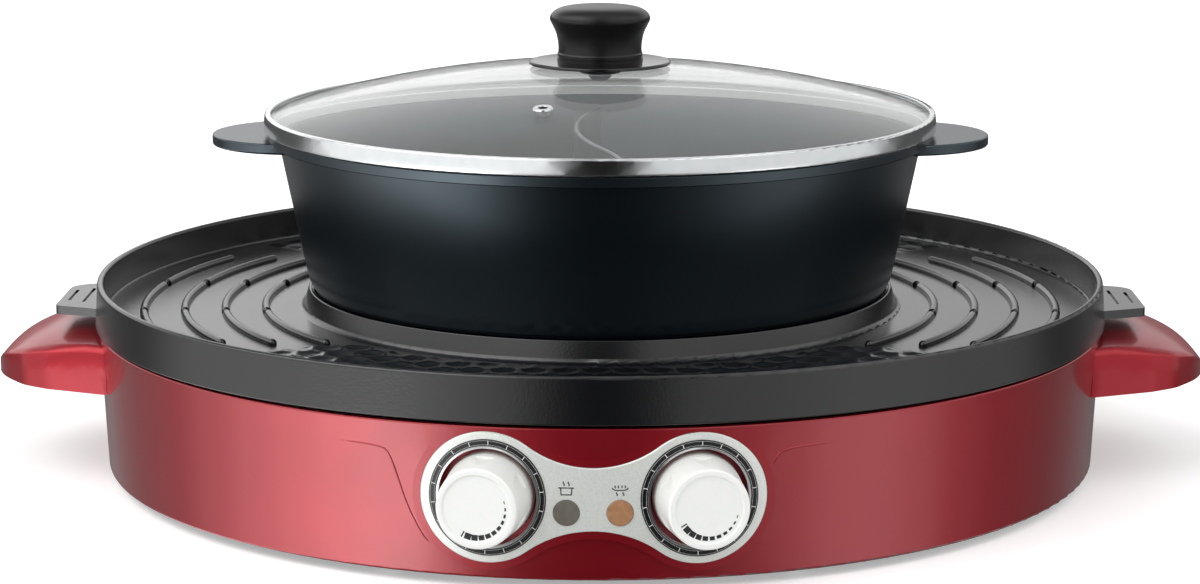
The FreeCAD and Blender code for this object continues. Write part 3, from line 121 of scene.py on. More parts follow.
# The soft boxes, round the sides
spread = fading(1.0, low_box_spread, axis["Z"], low_fade)
share = add(tree, "ShaderNodeMath", {0: turn, 1: spread}, operation="MULTIPLY").outputs[0]
share = add(tree, "ShaderNodeMapRange", {0: share, 1: -180.0, 2: 180.0}).outputs[0]
boxes = add(tree, "ShaderNodeValToRGB", {0: share})
boxes.color_ramp.interpolation = "EASE"
stops = boxes.color_ramp.elements
while len(stops) < len(box_levels):
    stops.new(0.5)
for stop, (degrees, level) in zip(stops, box_levels):
    stop.position = (degrees + 180) / 360
    stop.color = [level / peak_level] * 3 + [1.0]
box_peak = fading(peak_level, peak_level * low_box_share, axis["Z"], low_fade)
sides = add(tree, "ShaderNodeMath", {0: boxes.outputs[0], 1: box_peak}, operation="MULTIPLY").outputs[0]

# The screen, just below the horizon
off_middle = add(tree, "ShaderNodeMath", {0: turn, 1: gap_middle}, operation="SUBTRACT").outputs[0]
off_middle = add(tree, "ShaderNodeMath", {0: off_middle}, operation="ABSOLUTE").outputs[0]
screen = fading(left_screen_level, right_screen_level, turn, screen_blend)
screen = fading(0.0, screen, off_middle, gap_edge)
screen = fading(screen, screen_end_level, aside, screen_end)
sides = fading(sides, screen, axis["Z"], screen_fade)

# The white back, the high light in front of it, the ceiling, and what comes up from the floor
back = fading(back_left_level, back_right_level, axis["X"], back_blend)
back = fading(sides, back, aside, back_edge)
high = fading(high_left_level, high_right_level, turn, high_blend)
high = fading(high_middle_level, high, aside, high_middle_edge)
high = fading(high, high_back_level, aside, back_edge)
level = sides
for beyond, fade in ((back, back_fade), (high, high_fade), (overhead_level, overhead_fade),
                     (under_level, under_fade)):
    level = fading(level, beyond, axis["Z"], fade)

# The camera, and what it sees through glass, meets plain white
path = add(tree, "ShaderNodeLightPath").outputs
seen = add(tree, "ShaderNodeMath", {0: path["Is Camera Ray"], 1: path["Is Transmission Ray"]},
           operation="MAXIMUM").outputs[0]
strength = add(tree, "ShaderNodeMix", {0: seen, 2: level, 3: 1.0}).outputs[0]
lit = add(tree, "ShaderNodeBackground", {"Color": colour("#FFFFFF"), "Strength": strength}).outputs[0]
add(tree, "ShaderNodeOutputWorld", {"Surface": lit})

# Matt paper: it takes the cooker's soft shadow and gives no mirror image
floor_half = 40           # metres
floor_glow = 0.36         # lifts the paper to white for the camera alone, and leaves its shadow
floor_corners = [(x * floor_half, y * floor_half, 0) for x, y in ((-1, -1), (1, -1), (1, 1), (-1, 1))]
floor_mesh = bpy.data.meshes.new("floor")
floor_mesh.from_pydata(floor_corners, [], [(0, 1, 2, 3)])
floor = bpy.data.objects.new("floor", floor_mesh)
scene.collection.objects.link(floor)
paper = bpy.data.materials.new("matt_white_paper")
paper.use_nodes = True
tree = paper.node_tree
tree.nodes.clear()
path = add(tree, "ShaderNodeLightPath").outputs
sheet = add(tree, "ShaderNodeBsdfDiffuse", {"Color": colour("#E7E7E7")}).outputs[0]
glow = add(tree, "ShaderNodeEmission", {"Color": colour("#FFFFFF"), "Strength": floor_glow}).outputs[0]
lifted = add(tree, "ShaderNodeAddShader", {0: sheet, 1: glow}).outputs[0]
seen = add(tree, "ShaderNodeMath", {0: path["Is Camera Ray"], 1: path["Is Transmission Ray"]},
           operation="MAXIMUM").outputs[0]
paper_face = add(tree, "ShaderNodeMixShader", {0: seen, 1: sheet, 2: lifted}).outputs[0]
clear = add(tree, "ShaderNodeBsdfTransparent").outputs[0]
below = add(tree, "ShaderNodeNewGeometry").outputs["Backfacing"]
for hidden in (path["Is Glossy Ray"], below):
    paper_face = add(tree, "ShaderNodeMixShader", {0: hidden, 1: paper_face, 2: clear}).outputs[0]
add(tree, "ShaderNodeOutputMaterial", {"Surface": paper_face})
floor_mesh.materials.append(paper)

camera = bpy.data.objects.new("camera", bpy.data.cameras.new("camera"))
scene.collection.objects.link(camera)
camera.data.sensor_width = 36.0
camera.data.lens = 94.8
camera.location = (0.0157, -1.34308, 0.33695)
camera.rotation_euler = (math.radians(78.81), 0.0, math.radians(0.67))
scene.camera = camera

# ---------------------------------------------------------------------------------------------
# Base shell
# One-piece ABS moulding, tapering a little to the table. Sprayed metallic red under a clear
# coat; a fine moulded bead runs out from each side of the control panel.
# ---------------------------------------------------------------------------------------------
shell_top_radius = 214.8
shell_top_height = 62.5
shell_draft = 2.8 / 59.0  # radius lost over a height
bead_radius = 0.5
bead_proud = 0.2
bead_end_sunk = 0.6


def new_finish(name, **sockets):
    """Material with one Principled shader, its tree, and the object's coordinates in millimetres."""
    material = bpy.data.materials.new(name)
    material.use_nodes = True
    tree = material.node_tree
    tree.nodes.clear()
    shader = add(tree, "ShaderNodeBsdfPrincipled", {k.replace("_", " "): v for k, v in sockets.items()})
    add(tree, "ShaderNodeOutputMaterial", {"Surface": shader.outputs[0]})
    place = add(tree, "ShaderNodeTexCoord").outputs["Object"]
    place = add(tree, "ShaderNodeVectorMath", {0: place, "Scale": 1000.0}, operation="SCALE").outputs[0]
    return material, tree, shader, place


def tinted(tree, shader, share, dark, pale):
    """Base colour between two tones, by a socket that runs from 0 to 1."""
    tone = add(tree, "ShaderNodeMix", {0: share, 6: colour(dark), 7: colour(pale)}, data_type="RGBA")
    tree.links.new(tone.outputs[2], shader.inputs["Base Color"])


def dress(material, *names):
    """Give a CAD node its finish; its mesh and place stay as they are."""
    for name in names:
        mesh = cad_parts[name].data
        mesh.materials.clear()
        mesh.materials.append(material)


def on_shell(degrees, height, lift=0.0):
    """Point on the drafted shell, in metres, from an angle off the front and a height in millimetres."""
    radius = shell_top_radius - shell_draft * (shell_top_height - height) + lift
    angle = math.radians(degrees)
    return Vector((radius * math.sin(angle), -radius * math.cos(angle), height)) / 1000


# Metallic paint: aluminium flakes of about 0.05 mm, drawn at 0.5 mm so that they show, give the
# red its depth and a wide soft sheen, a little uneven over 28 mm. The clear coat, rippled at 2.2 mm,
# lays a sharper sheen on it.
metallic_red, tree, shader, place = new_finish(
    "metallic_red_paint", Metallic=0.75, Roughness=0.42, Coat_Weight=1.0, Coat_Roughness=0.14)
flake = add(tree, "ShaderNodeTexVoronoi", {"Vector": place, "Scale": 1 / 0.5}).outputs["Color"]
flake = add(tree, "ShaderNodeSeparateColor", {0: flake}).outputs[0]
cloud = add(tree, "ShaderNodeTexNoise", {"Vector": place, "Scale": 1 / 28.0, "Detail": 3.0}).outputs[0]
tone = add(tree, "ShaderNodeMapRange", {0: flake, 1: 0.0, 2: 1.0, 3: 0.42, 4: 0.62}).outputs[0]
tinted(tree, shader, tone, "#960217", "#A0061F")
rough = add(tree, "ShaderNodeMapRange", {0: cloud, 1: 0.3, 2: 0.7, 3: 0.39, 4: 0.45}).outputs[0]
tree.links.new(rough, shader.inputs["Roughness"])
ripple = add(tree, "ShaderNodeTexNoise", {"Vector": place, "Scale": 1 / 2.2, "Detail": 1.0}).outputs[0]
dimple = add(tree, "ShaderNodeBump", {"Height": ripple, "Strength": 0.05, "Distance": 0.0004}).outputs[0]
tree.links.new(dimple, shader.inputs["Normal"])
tree.links.new(dimple, shader.inputs["Coat Normal"])
dress(metallic_red, "base_shell")


def new_tree(name, result, inputs):
    """Geometry tree with named inputs, each of a kind, and one result; gives the inputs' sockets."""
    tree = bpy.data.node_groups.new(name, "GeometryNodeTree")
    for label, kind in inputs.items():
        tree.interface.new_socket(label, in_out="INPUT", socket_type="NodeSocket" + kind)
    tree.interface.new_socket(result, in_out="OUTPUT", socket_type="NodeSocketGeometry")
    return tree, add(tree, "NodeGroupInput").outputs


# The bead's tube follows a path of a few points on the shell, half sunk into it
bead_tree, given = new_tree("moulded_bead", "Bead", {
    "Path": "Geometry", "Bead radius": "Float", "Finish": "Material"})
section = add(bead_tree, "GeometryNodeCurvePrimitiveCircle", {"Resolution": 10,
                                                              "Radius": given["Bead radius"]}).outputs[0]
swept = add(bead_tree, "GeometryNodeCurveToMesh", {0: given["Path"], 1: section,
                                                   "Fill Caps": True}).outputs[0]
whole = add(bead_tree, "GeometryNodeRealizeInstances", {0: swept}).outputs[0]
smooth = add(bead_tree, "GeometryNodeSetShadeSmooth", {0: whole}).outputs[0]
dressed = add(bead_tree, "GeometryNodeSetMaterial", {0: smooth, "Material": given["Finish"]}).outputs[0]
add(bead_tree, "NodeGroupOutput", {0: dressed})


def grown_by(holder, tree, values):
    """Put a tree on an object as a modifier, with its named inputs."""
    nodes = holder.modifiers.new(tree.name, "NODES")
    nodes.node_group = tree
    for socket in tree.interface.items_tree:
        if socket.in_out == "INPUT" and socket.name in values:
            nodes[socket.identifier] = values[socket.name]


def applied(holder, name):
    """Plain mesh piece from an object's evaluated modifiers; the holder goes away."""
    bpy.context.view_layer.update()
    graph = bpy.context.evaluated_depsgraph_get()
    mesh = bpy.data.meshes.new_from_object(holder.evaluated_get(graph))
    mesh.name = name
    bpy.data.objects.remove(holder)
    piece = bpy.data.objects.new(name, mesh)
    scene.collection.objects.link(piece)
    return piece


bead_paths = {   # degrees from the front, and height
    "bead_left": ((-52, 52.4), (-44, 52.6), (-36, 52.6), (-28, 52.6), (-23.4, 52.5), (-21.4, 51.6),
                  (-20.8, 48.6), (-20.1, 41.4), (-19.2, 30.9), (-18.1, 22.4), (-17.1, 16.5),
                  (-15.6, 13.0)),
    "bead_right": ((18.1, 44.0), (18.3, 47.5), (18.8, 50.8), (20.2, 52.3), (23.5, 52.8), (29, 52.8),
                   (37.6, 51.6), (45, 50.5), (52, 49.5)),
}


def raised_line(name, routes, radius, finish, body):
    """Piece of round beads along smooth routes; the points are in metres, and half of each sinks in."""
    curve = bpy.data.curves.new(name, "CURVE")
    curve.dimensions = "3D"
    for route in routes:
        spline = curve.splines.new("NURBS")
        spline.points.add(len(route) - 1)
        for point, place in zip(spline.points, route):
            point.co = (*place, 1.0)
        spline.order_u = 3
        spline.use_endpoint_u = True
        spline.resolution_u = 12
    holder = bpy.data.objects.new(name + "_path", curve)
    scene.collection.objects.link(holder)
    grown_by(holder, bead_tree, {"Bead radius": radius / 1000, "Finish": finish})
    bead = applied(holder, name)
    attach(bead, body)


for name, route in bead_paths.items():
    sunk = [bead_end_sunk] + [0.0] * (len(route) - 2) + [bead_end_sunk]
    route = [on_shell(degrees, height, bead_proud - bead_radius - depth)
             for (degrees, height), depth in zip(route, sunk)]
    raised_line(name, [route], bead_radius, metallic_red, "base")

# ---------------------------------------------------------------------------------------------
# Bottom cover, feet and screws
# Black ABS cover with a fine spark-eroded grain, four rubber feet pushed into it, and zinc-plated
# pan-head screws with a cross recess, up into the shell's bosses.
# ---------------------------------------------------------------------------------------------


def clouded(tree, shader, place, size, dark, pale, detail=2.0):
    """Base colour that drifts between two tones, in patches of a size in millimetres."""
    cloud = add(tree, "ShaderNodeTexNoise", {"Vector": place, "Scale": 1 / size,
                                             "Detail": detail}).outputs[0]
    tinted(tree, shader, cloud, dark, pale)
    return cloud


# Moulded ABS: its grain of about 0.1 mm, drawn at 0.6 mm so that it shows, greys the shine
black_abs, tree, shader, place = new_finish("moulded_black_abs", Roughness=0.55)
grain = clouded(tree, shader, place, 0.6, "#17181A", "#242527", 3.0)
dimple = add(tree, "ShaderNodeBump", {"Height": grain, "Strength": 0.4, "Distance": 0.0001}).outputs[0]
tree.links.new(dimple, shader.inputs["Normal"])
dress(black_abs, "bottom_cover")

# Moulded rubber: dull, with a faint grey bloom
black_rubber, tree, shader, place = new_finish("moulded_black_rubber", Roughness=0.75)
clouded(tree, shader, place, 1.4, "#1B1B1C", "#2E2E2F", 4.0)
dress(black_rubber, "rubber_feet")

# Bright zinc: a faintly blue metal whose shine comes and goes with tumbling marks of 0.8 mm
zinc_plate, tree, shader, place = new_finish("bright_zinc_plate", Metallic=1.0, Roughness=0.3)
marks = clouded(tree, shader, place, 0.8, "#AEB2B6", "#D0D3D6", 4.0)
rough = add(tree, "ShaderNodeMapRange", {0: marks, 3: 0.22, 4: 0.42}).outputs[0]
tree.links.new(rough, shader.inputs["Roughness"])
dress(zinc_plate, "cover_screws", "wing_screws", "inlet_screws", "pan_screws", "hotplate_screws",
      "thermostat_nuts", "shaft_hotpot", "shaft_grill", "element_cradles", "lid_screw")

# ---------------------------------------------------------------------------------------------
# Wing handles
# Hollow ABS mouldings in the shell's red, screwed on from inside the shell. They take a copy of its
# paint with a thinner clear coat, which dims their sheen and keeps the red deeper: painted shade.
# ---------------------------------------------------------------------------------------------
# Painted shade: the shell's own paint, with its clear coat weakened so that the wings reflect less
wing_red_shaded_copy = metallic_red.copy()
wing_red_shaded_copy.name = "metallic_red_paint_shaded_copy"
wing_red_shaded_copy.node_tree.nodes["Principled BSDF"].inputs["Coat Weight"].default_value = 0.4
dress(wing_red_shaded_copy, "wing_handle_left", "wing_handle_right")


def merged_copy(name):
    """A CAD node's mesh with its doubles merged, in millimetres."""
    form = bmesh.new()
    form.from_mesh(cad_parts[name].data)
    form.transform(Matrix.Scale(1000, 4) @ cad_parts[name].matrix_world)
    bmesh.ops.remove_doubles(form, verts=form.verts, dist=0.001)
    return form


def remade(form, name, crease, *finishes):
    """Mesh of a reshaped copy, in metres, smooth but for the edges that bend more than the crease."""
    form.transform(Matrix.Scale(0.001, 4))
    bmesh.ops.recalc_face_normals(form, faces=form.faces)
    for face in form.faces:
        face.smooth = True
    mesh = bpy.data.meshes.new(name)
    form.to_mesh(mesh)
    form.free()
    mesh.attributes.remove(mesh.attributes["custom_normal"])
    mesh.set_sharp_from_angle(angle=math.radians(crease))
    for finish in finishes:
        mesh.materials.append(finish)
    return mesh


def kept_within(value, low, high):
    """The value, or the nearer limit where it lies outside them."""
    return min(max(value, low), high)


# The plan is half an ellipse, the top falls from the shell to the tip, and its edge is rounded
wing_reach = 45.5         # tip beyond the shell's top edge
wing_plan_start = -26.0   # the ellipse's centre, from the shell's top edge
wing_plan_half = 62.7
wing_underside = 39.0
wing_root_half = 57.3     # the straight-sided moulding that the plan is drawn in from
wing_flank_slope = 0.42
wing_tip_radius = 68.6
wing_corner_blend = 6.0
wing_tip_margin = 1.5     # its width is taken no nearer to the tip than this
wing_root_rise = 0.14     # the corners at the shell are higher by this share, and the tip is lower
wing_tip_fall = 0.12
wing_fall_power = 1.5
wing_edge_height = 19.3
wing_root_round = 0.05    # how far the upper edge is drawn in and down, at the shell and at the tip
wing_tip_round = 0.12
wing_plan_power = 8       # how closely that rounding keeps to the plan's edge, and to the top
wing_top_power = 6
wing_round_start = -16.0  # the rounding sets in behind the shell's wall, over this run
wing_round_run = 7.0
wing_mesh_edge = 4.0      # edges are cut till they are shorter, in at most so many rounds
wing_cuts = 4
wing_crease = 38.0
plan_length = wing_reach - wing_plan_start
for side, name in ((-1, "wing_handle_left"), (1, "wing_handle_right")):
    form = merged_copy(name)
    for _ in range(wing_cuts):
        long = [edge for edge in form.edges if edge.calc_length() > wing_mesh_edge]
        bmesh.ops.subdivide_edges(form, edges=long, cuts=1)
        bmesh.ops.triangulate(form, faces=[face for face in form.faces if len(face.verts) > 3])
    for v in form.verts:
        u = side * v.co.x - shell_top_radius
        reach = kept_within(u / wing_reach, 0.0, 1.0)
        rise = wing_root_rise * (v.co.y / wing_root_half) ** 2 * (1 - reach) ** 2
        tall = 1 + rise - wing_tip_fall * reach ** wing_fall_power

        # How wide the moulding is here, and how wide the ellipse is
        out = min(u, wing_reach - wing_tip_margin)
        flank = wing_root_half - wing_flank_slope * out
        tip = math.sqrt(wing_tip_radius ** 2 - (out + wing_tip_radius - wing_reach) ** 2)
        blend = max(wing_corner_blend - abs(flank - tip), 0.0) / wing_corner_blend
        width = min(flank, tip) - blend ** 2 * wing_corner_blend / 4
        share = (out - wing_plan_start) / plan_length
        v.co.y *= min(1.0, wing_plan_half * math.sqrt(1 - share ** 2) / width)
        v.co.z = wing_underside + (v.co.z - wing_underside) * tall

        # The upper edge is drawn towards the root's middle, on the underside
        along = u - wing_plan_start
        plan = math.hypot(along / plan_length, v.co.y / wing_plan_half)
        level = kept_within((v.co.z - wing_underside) / (wing_edge_height * tall), 0.0, 1.0)
        amount = wing_root_round + (wing_tip_round - wing_root_round) * reach
        outside = kept_within((u - wing_round_start) / wing_round_run, 0.0, 1.0)
        pull = 1 - amount * plan ** wing_plan_power * level ** wing_top_power * outside
        v.co.x = side * (shell_top_radius + wing_plan_start + along * pull)
        v.co.y *= pull
        v.co.z = wing_underside + (v.co.z - wing_underside) * pull
    holder = bpy.data.objects.new(name + "_form", remade(form, name + "_shaped", wing_crease, wing_red_shaded_copy))
    scene.collection.objects.link(holder)
    even = holder.modifiers.new("even_shading", "WEIGHTED_NORMAL")
    even.keep_sharp = True
    shaped = applied(holder, name + "_shaped")
    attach(shaped, "base")
    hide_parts(name)

# ---------------------------------------------------------------------------------------------
# Control panel
# Curved dumbbell plate of ABS, sprayed silver and satin, clipped into the shell's recess. It
# carries two black dial rings, each with a thin chrome trim, and printed scales and signs.
# ---------------------------------------------------------------------------------------------

# Silver paint: its flakes, drawn at 0.45 mm so that they show, make a pale satin face with no clear
# mirror image
silver_paint, tree, shader, place = new_finish("satin_silver_paint", Metallic=0.4, Roughness=0.36)
grain = add(tree, "ShaderNodeTexVoronoi", {"Vector": place, "Scale": 1 / 0.45}).outputs["Color"]
grain = add(tree, "ShaderNodeSeparateColor", {0: grain}).outputs[0]
tinted(tree, shader, grain, "#DFE3DE", "#EBEEEA")
dress(silver_paint, "control_panel")

# Gloss black ink: deep and even, so that the white marks stand out
dial_ink, tree, shader, place = new_finish("gloss_black_dial", Roughness=0.28)
clouded(tree, shader, place, 0.9, "#0B0B0D", "#141416")
dress(dial_ink, "dial_ring_hotpot", "dial_ring_grill")

# Bright chrome: a cold mirror with a slight haze, in patches of 3 mm
chrome_plate, tree, shader, place = new_finish("bright_chrome_plate", Metallic=1.0, Roughness=0.12)
clouded(tree, shader, place, 3.0, "#D6D9DB", "#E6E8E9", 3.0)
dress(chrome_plate, "dial_trim_hotpot", "dial_trim_grill")

# Printing inks: flat and half matt, a little thinner in spots of 0.4 mm
white_ink, tree, shader, place = new_finish("white_printing_ink", Roughness=0.5)
clouded(tree, shader, place, 0.4, "#C9CBC9", "#E2E3E1")

black_ink, tree, shader, place = new_finish("black_printing_ink", Roughness=0.45)
clouded(tree, shader, place, 0.4, "#1C1D1F", "#2A2B2D")

# A printed scale: marks round a circle, each smaller than the last, and lines round both ends
scale_tree, given = new_tree("printed_scale", "Print", {
    "Print so far": "Geometry", "Marks": "Int", "Circle": "Float", "First angle": "Float",
    "Step": "Float", "Width": "Float", "Length": "Float", "Narrower": "Float", "Shorter": "Float",
    "Height": "Float", "Line radius": "Float", "Bend": "Float", "Lines": "Bool", "Place": "Vector",
    "Turn": "Vector", "Finish": "Material"})
tree = scale_tree
index = add(tree, "GeometryNodeInputIndex").outputs[0]
angle = add(tree, "ShaderNodeMath", {0: index, 1: given["Step"], 2: given["First angle"]},
            operation="MULTIPLY_ADD").outputs[0]
angle = add(tree, "ShaderNodeMath", {0: angle}, operation="RADIANS").outputs[0]
across = add(tree, "ShaderNodeMath", {0: angle}, operation="COSINE").outputs[0]
upward = add(tree, "ShaderNodeMath", {0: angle}, operation="SINE").outputs[0]
outward = add(tree, "ShaderNodeCombineXYZ", {0: across, 1: upward}).outputs[0]
outward = add(tree, "ShaderNodeVectorMath", {0: outward, "Scale": given["Circle"]},
              operation="SCALE").outputs[0]
row = add(tree, "GeometryNodeMeshLine", {"Count": given["Marks"]}).outputs[0]
row = add(tree, "GeometryNodeSetPosition", {"Geometry": row, "Position": outward}).outputs[0]
lost = [add(tree, "ShaderNodeMath", {0: index, 1: given[label]}, operation="MULTIPLY").outputs[0]
        for label in ("Shorter", "Narrower")]
left = [add(tree, "ShaderNodeMath", {0: 1.0, 1: loss}, operation="SUBTRACT").outputs[0]
        for loss in lost]
size = add(tree, "ShaderNodeCombineXYZ", {0: left[0], 1: left[1], 2: 1.0}).outputs[0]
facing = add(tree, "ShaderNodeCombineXYZ", {2: angle}).outputs[0]
block = add(tree, "ShaderNodeCombineXYZ", {0: given["Length"], 1: given["Width"],
                                                 2: given["Height"]}).outputs[0]
block = add(tree, "GeometryNodeMeshCube", {"Size": block}).outputs[0]
marks = add(tree, "GeometryNodeInstanceOnPoints", {
    "Points": row, "Instance": block, "Rotation": facing, "Scale": size}).outputs[0]
marks = add(tree, "GeometryNodeRealizeInstances", {0: marks}).outputs[0]
thread = add(tree, "GeometryNodeCurvePrimitiveCircle", {"Resolution": 8,
                                                              "Radius": given["Line radius"]}).outputs[0]
rings = add(tree, "GeometryNodeJoinGeometry")
for end in (-0.5, 0.5):
    reach = add(tree, "ShaderNodeMath", {0: given["Length"], 1: end, 2: given["Circle"]},
                operation="MULTIPLY_ADD").outputs[0]
    ring = add(tree, "GeometryNodeCurvePrimitiveCircle", {"Resolution": 96,
                                                                "Radius": reach}).outputs[0]
    ring = add(tree, "GeometryNodeCurveToMesh", {0: ring, 1: thread}).outputs[0]
    tree.links.new(ring, rings.inputs[0])
rings = add(tree, "GeometryNodeSwitch", {"Switch": given["Lines"], "True": rings.outputs[0]},
            input_type="GEOMETRY").outputs[0]
flat = add(tree, "GeometryNodeJoinGeometry", {0: marks})
tree.links.new(rings, flat.inputs[0])

# The flat print sags with the face that it is on, by x squared over twice the face's radius
point = add(tree, "GeometryNodeInputPosition").outputs[0]
point = add(tree, "ShaderNodeSeparateXYZ", {0: point}).outputs
sag = add(tree, "ShaderNodeMath", {0: point["X"], 1: point["X"]}, operation="MULTIPLY").outputs[0]
sag = add(tree, "ShaderNodeMath", {0: sag, 1: given["Bend"]}, operation="MULTIPLY").outputs[0]
sag = add(tree, "ShaderNodeMath", {0: sag, 1: -0.5}, operation="MULTIPLY").outputs[0]
sag = add(tree, "ShaderNodeCombineXYZ", {2: sag}).outputs[0]
bent = add(tree, "GeometryNodeSetPosition", {"Geometry": flat.outputs[0], "Offset": sag}).outputs[0]
stood = add(tree, "GeometryNodeTransform", {"Geometry": bent, "Translation": given["Place"],
                                                  "Rotation": given["Turn"],
                                                  "Scale": (0.001, 0.001, 0.001)}).outputs[0]
inked = add(tree, "GeometryNodeSetMaterial", {0: stood, "Material": given["Finish"]}).outputs[0]
both = add(tree, "GeometryNodeJoinGeometry", {0: given["Print so far"]})
tree.links.new(inked, both.inputs[0])
whole = add(tree, "GeometryNodeRealizeInstances", {0: both.outputs[0]}).outputs[0]
add(tree, "NodeGroupOutput", {0: whole})

panel_radius = 215.2
dial_height = 35.5
dial_spacing = 79.0       # between the two dials' centres, across the front
dial_angle = math.asin(dial_spacing / 2 / panel_radius)
dial_face = 0.35          # the dial's face in front of the panel
dial_inner, dial_outer = 19.6, 22.2
dial_border = 0.5


def printed_scale(name, side, distance, parts, body):
    """Scales printed square to the front on one side, at a distance from the cooker's axis."""
    holder = bpy.data.objects.new(name + "_print", bpy.data.meshes.new(name + "_print"))
    scene.collection.objects.link(holder)
    angle = side * dial_angle
    place = (distance * math.sin(angle) / 1000, -distance * math.cos(angle) / 1000, dial_height / 1000)
    for part in parts:
        grown_by(holder, scale_tree, {"Place": place, "Turn": (math.pi / 2, 0.0, angle), **part})
    scale = applied(holder, name)
    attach(scale, body)


for side, name in ((-1, "hotpot"), (1, "grill")):
    printed_scale("dial_scale_" + name, side, panel_radius + dial_face, [{
        "Marks": 18, "Circle": (dial_inner + dial_outer) / 2, "First angle": 8.0, "Step": 20.0,
        "Width": 0.3, "Length": dial_outer - dial_inner - 2 * dial_border, "Height": 0.12,
        "Lines": True, "Line radius": 0.05, "Bend": 1 / (panel_radius + dial_face), "Finish": white_ink}],
        "base")


def on_panel(across, height, lift=0.0):
    """Point on the panel's curved face, in metres, from millimetres across and above the table."""
    angle = math.asin(across / panel_radius)
    radius = panel_radius + lift
    return Vector((radius * math.sin(angle), -radius * math.cos(angle), height)) / 1000


# Plain signs over the lamps: a pot with steam on the left, a ridged plate over heat on the right
sign_spacing = 19.9
sign_height = 39.2
sign_line = 0.25
sign_depth = 0.1          # the lines' middles lie this far in the panel's face
pot_sign = (((-2.1, 0.9), (-2.1, 0.9), (-1.9, -1.7), (-1.9, -1.7),
             (1.9, -1.7), (1.9, -1.7), (2.1, 0.9), (2.1, 0.9)),
            ((-2.9, 0.9), (2.9, 0.9)),
            ((-0.9, 1.7), (-0.5, 2.2), (-1.3, 2.8), (-0.9, 3.3)),
            ((0.9, 1.7), (1.3, 2.2), (0.5, 2.8), (0.9, 3.3)))
plate_sign = (((-2.9, 1.0), (-2.9, 0.0), (2.9, 0.0), (2.9, 1.0)),
              ((-1.9, 0.9), (-1.9, 1.9)), ((-0.65, 0.9), (-0.65, 1.9)), ((0.65, 0.9), (0.65, 1.9)),
              ((1.9, 0.9), (1.9, 1.9)),
              ((-1.2, -2.0), (-0.8, -1.6), (-1.6, -1.1), (-1.2, -0.7)),
              ((1.2, -2.0), (1.6, -1.6), (0.8, -1.1), (1.2, -0.7)))
for name, side, strokes in (("sign_pot", -1, pot_sign), ("sign_plate", 1, plate_sign)):
    routes = [[on_panel(side * sign_spacing / 2 + x, sign_height + y, -sign_depth) for x, y in stroke]
              for stroke in strokes]
    raised_line(name, routes, sign_line, black_ink, "base")

# ---------------------------------------------------------------------------------------------
# Lamp lenses
# Tinted acrylic buttons with a frosted back, smoke grey on the left and amber on the right,
# pressed into the panel. A small neon lamp stands behind each.
# ---------------------------------------------------------------------------------------------

# Moulded acrylic: a soft gloss in front, and a milky glow from the frosted back
for name, deep, pale in (("hotpot", "#6E695F", "#8A857A"), ("grill", "#A87650", "#D8A77C")):
    acrylic, tree, shader, place = new_finish(
        "tinted_acrylic_" + name, Roughness=0.2, Transmission_Weight=0.35, IOR=1.49)
    clouded(tree, shader, place, 2.5, deep, pale)
    dress(acrylic, "lamp_lens_" + name)

# Blown glass: clear and shiny, with a warm cast from what is inside
lamp_glass, tree, shader, place = new_finish(
    "neon_lamp_glass", Roughness=0.05, Transmission_Weight=0.9, IOR=1.5)
clouded(tree, shader, place, 2.0, "#E8C9A8", "#F4DCC0")
dress(lamp_glass, "neon_lamps")

# ---------------------------------------------------------------------------------------------
# Thermostats
# Moulded phenolic cases behind the shell's front, each held by a nut on its threaded bush. A
# zinc-plated steel shaft comes out through the bush and takes the knob.
# ---------------------------------------------------------------------------------------------

# Moulded phenolic: dark brown and half matt, mottled at 0.7 mm by its wood-flour filler
phenolic, tree, shader, place = new_finish("moulded_phenolic", Roughness=0.5)
clouded(tree, shader, place, 0.7, "#2B211C", "#3E322B", 5.0)
dress(phenolic, "thermostat_hotpot", "thermostat_grill")

# ---------------------------------------------------------------------------------------------
# Knobs
# ABS caps in pearl silver-white with shallow finger flats, pushed on the thermostat shafts. A
# starting line and a row of bars, each smaller than the last, are printed on the face.
# ---------------------------------------------------------------------------------------------

# Pearl paint: mica of about 0.05 mm, drawn at 0.8 mm so that it shows, keeps the gloss white soft
pearl_paint, tree, shader, place = new_finish("pearl_white_paint", Roughness=0.28)
clouded(tree, shader, place, 0.8, "#EAECE9", "#F1F2EF")
dress(pearl_paint, "knob_hotpot", "knob_grill")

knob_proud = 17.4         # the cap's front before the panel, and how far its face is dished
knob_dish = 0.7
knob_face = panel_radius + knob_proud - knob_dish
bar_step = 13.6
bar_start = 11.0          # the first bar after the starting line
for side, name, first_angle in ((-1, "hotpot", 242.0), (1, "grill", 210.5)):
    bars = {"Marks": 10, "Circle": 10.9, "First angle": first_angle + bar_start, "Step": bar_step,
            "Width": 2.5, "Length": 2.4, "Narrower": 0.06, "Shorter": 0.095, "Height": 0.1,
            "Finish": black_ink}
    start = {**bars, "Marks": 1, "First angle": first_angle, "Width": 0.5}
    printed_scale("knob_scale_" + name, side, knob_face, [start, bars], name + "_knob")

# ---------------------------------------------------------------------------------------------
# Power inlet
# Black heat-proof socket screwed to the rear of the shell, with three nickel-plated brass pins,
# and a glazed ceramic terminal block on the cover in front of it.
# ---------------------------------------------------------------------------------------------
dress(black_abs, "inlet_socket")

# Nickel over brass: a warm metal, a little dull
nickel, tree, shader, place = new_finish("nickel_plated_brass", Metallic=1.0, Roughness=0.25)
clouded(tree, shader, place, 1.2, "#CFC6B0", "#DDD6C4", 3.0)
dress(nickel, "inlet_pins", "heater_terminals")

# Glazed ceramic: off-white with a wet gloss, uneven by some 4 mm from the kiln
ceramic, tree, shader, place = new_finish("glazed_ceramic", Roughness=0.25)
clouded(tree, shader, place, 4.0, "#D9D5CA", "#E6E2D8", 4.0)
dress(ceramic, "terminal_block")

# ---------------------------------------------------------------------------------------------
# Reflector pan and heaters
# Bright pressed aluminium pan, a bent steel-sheathed tube for the grill, and a cast aluminium
# plate with a ground top for the pot.
# ---------------------------------------------------------------------------------------------

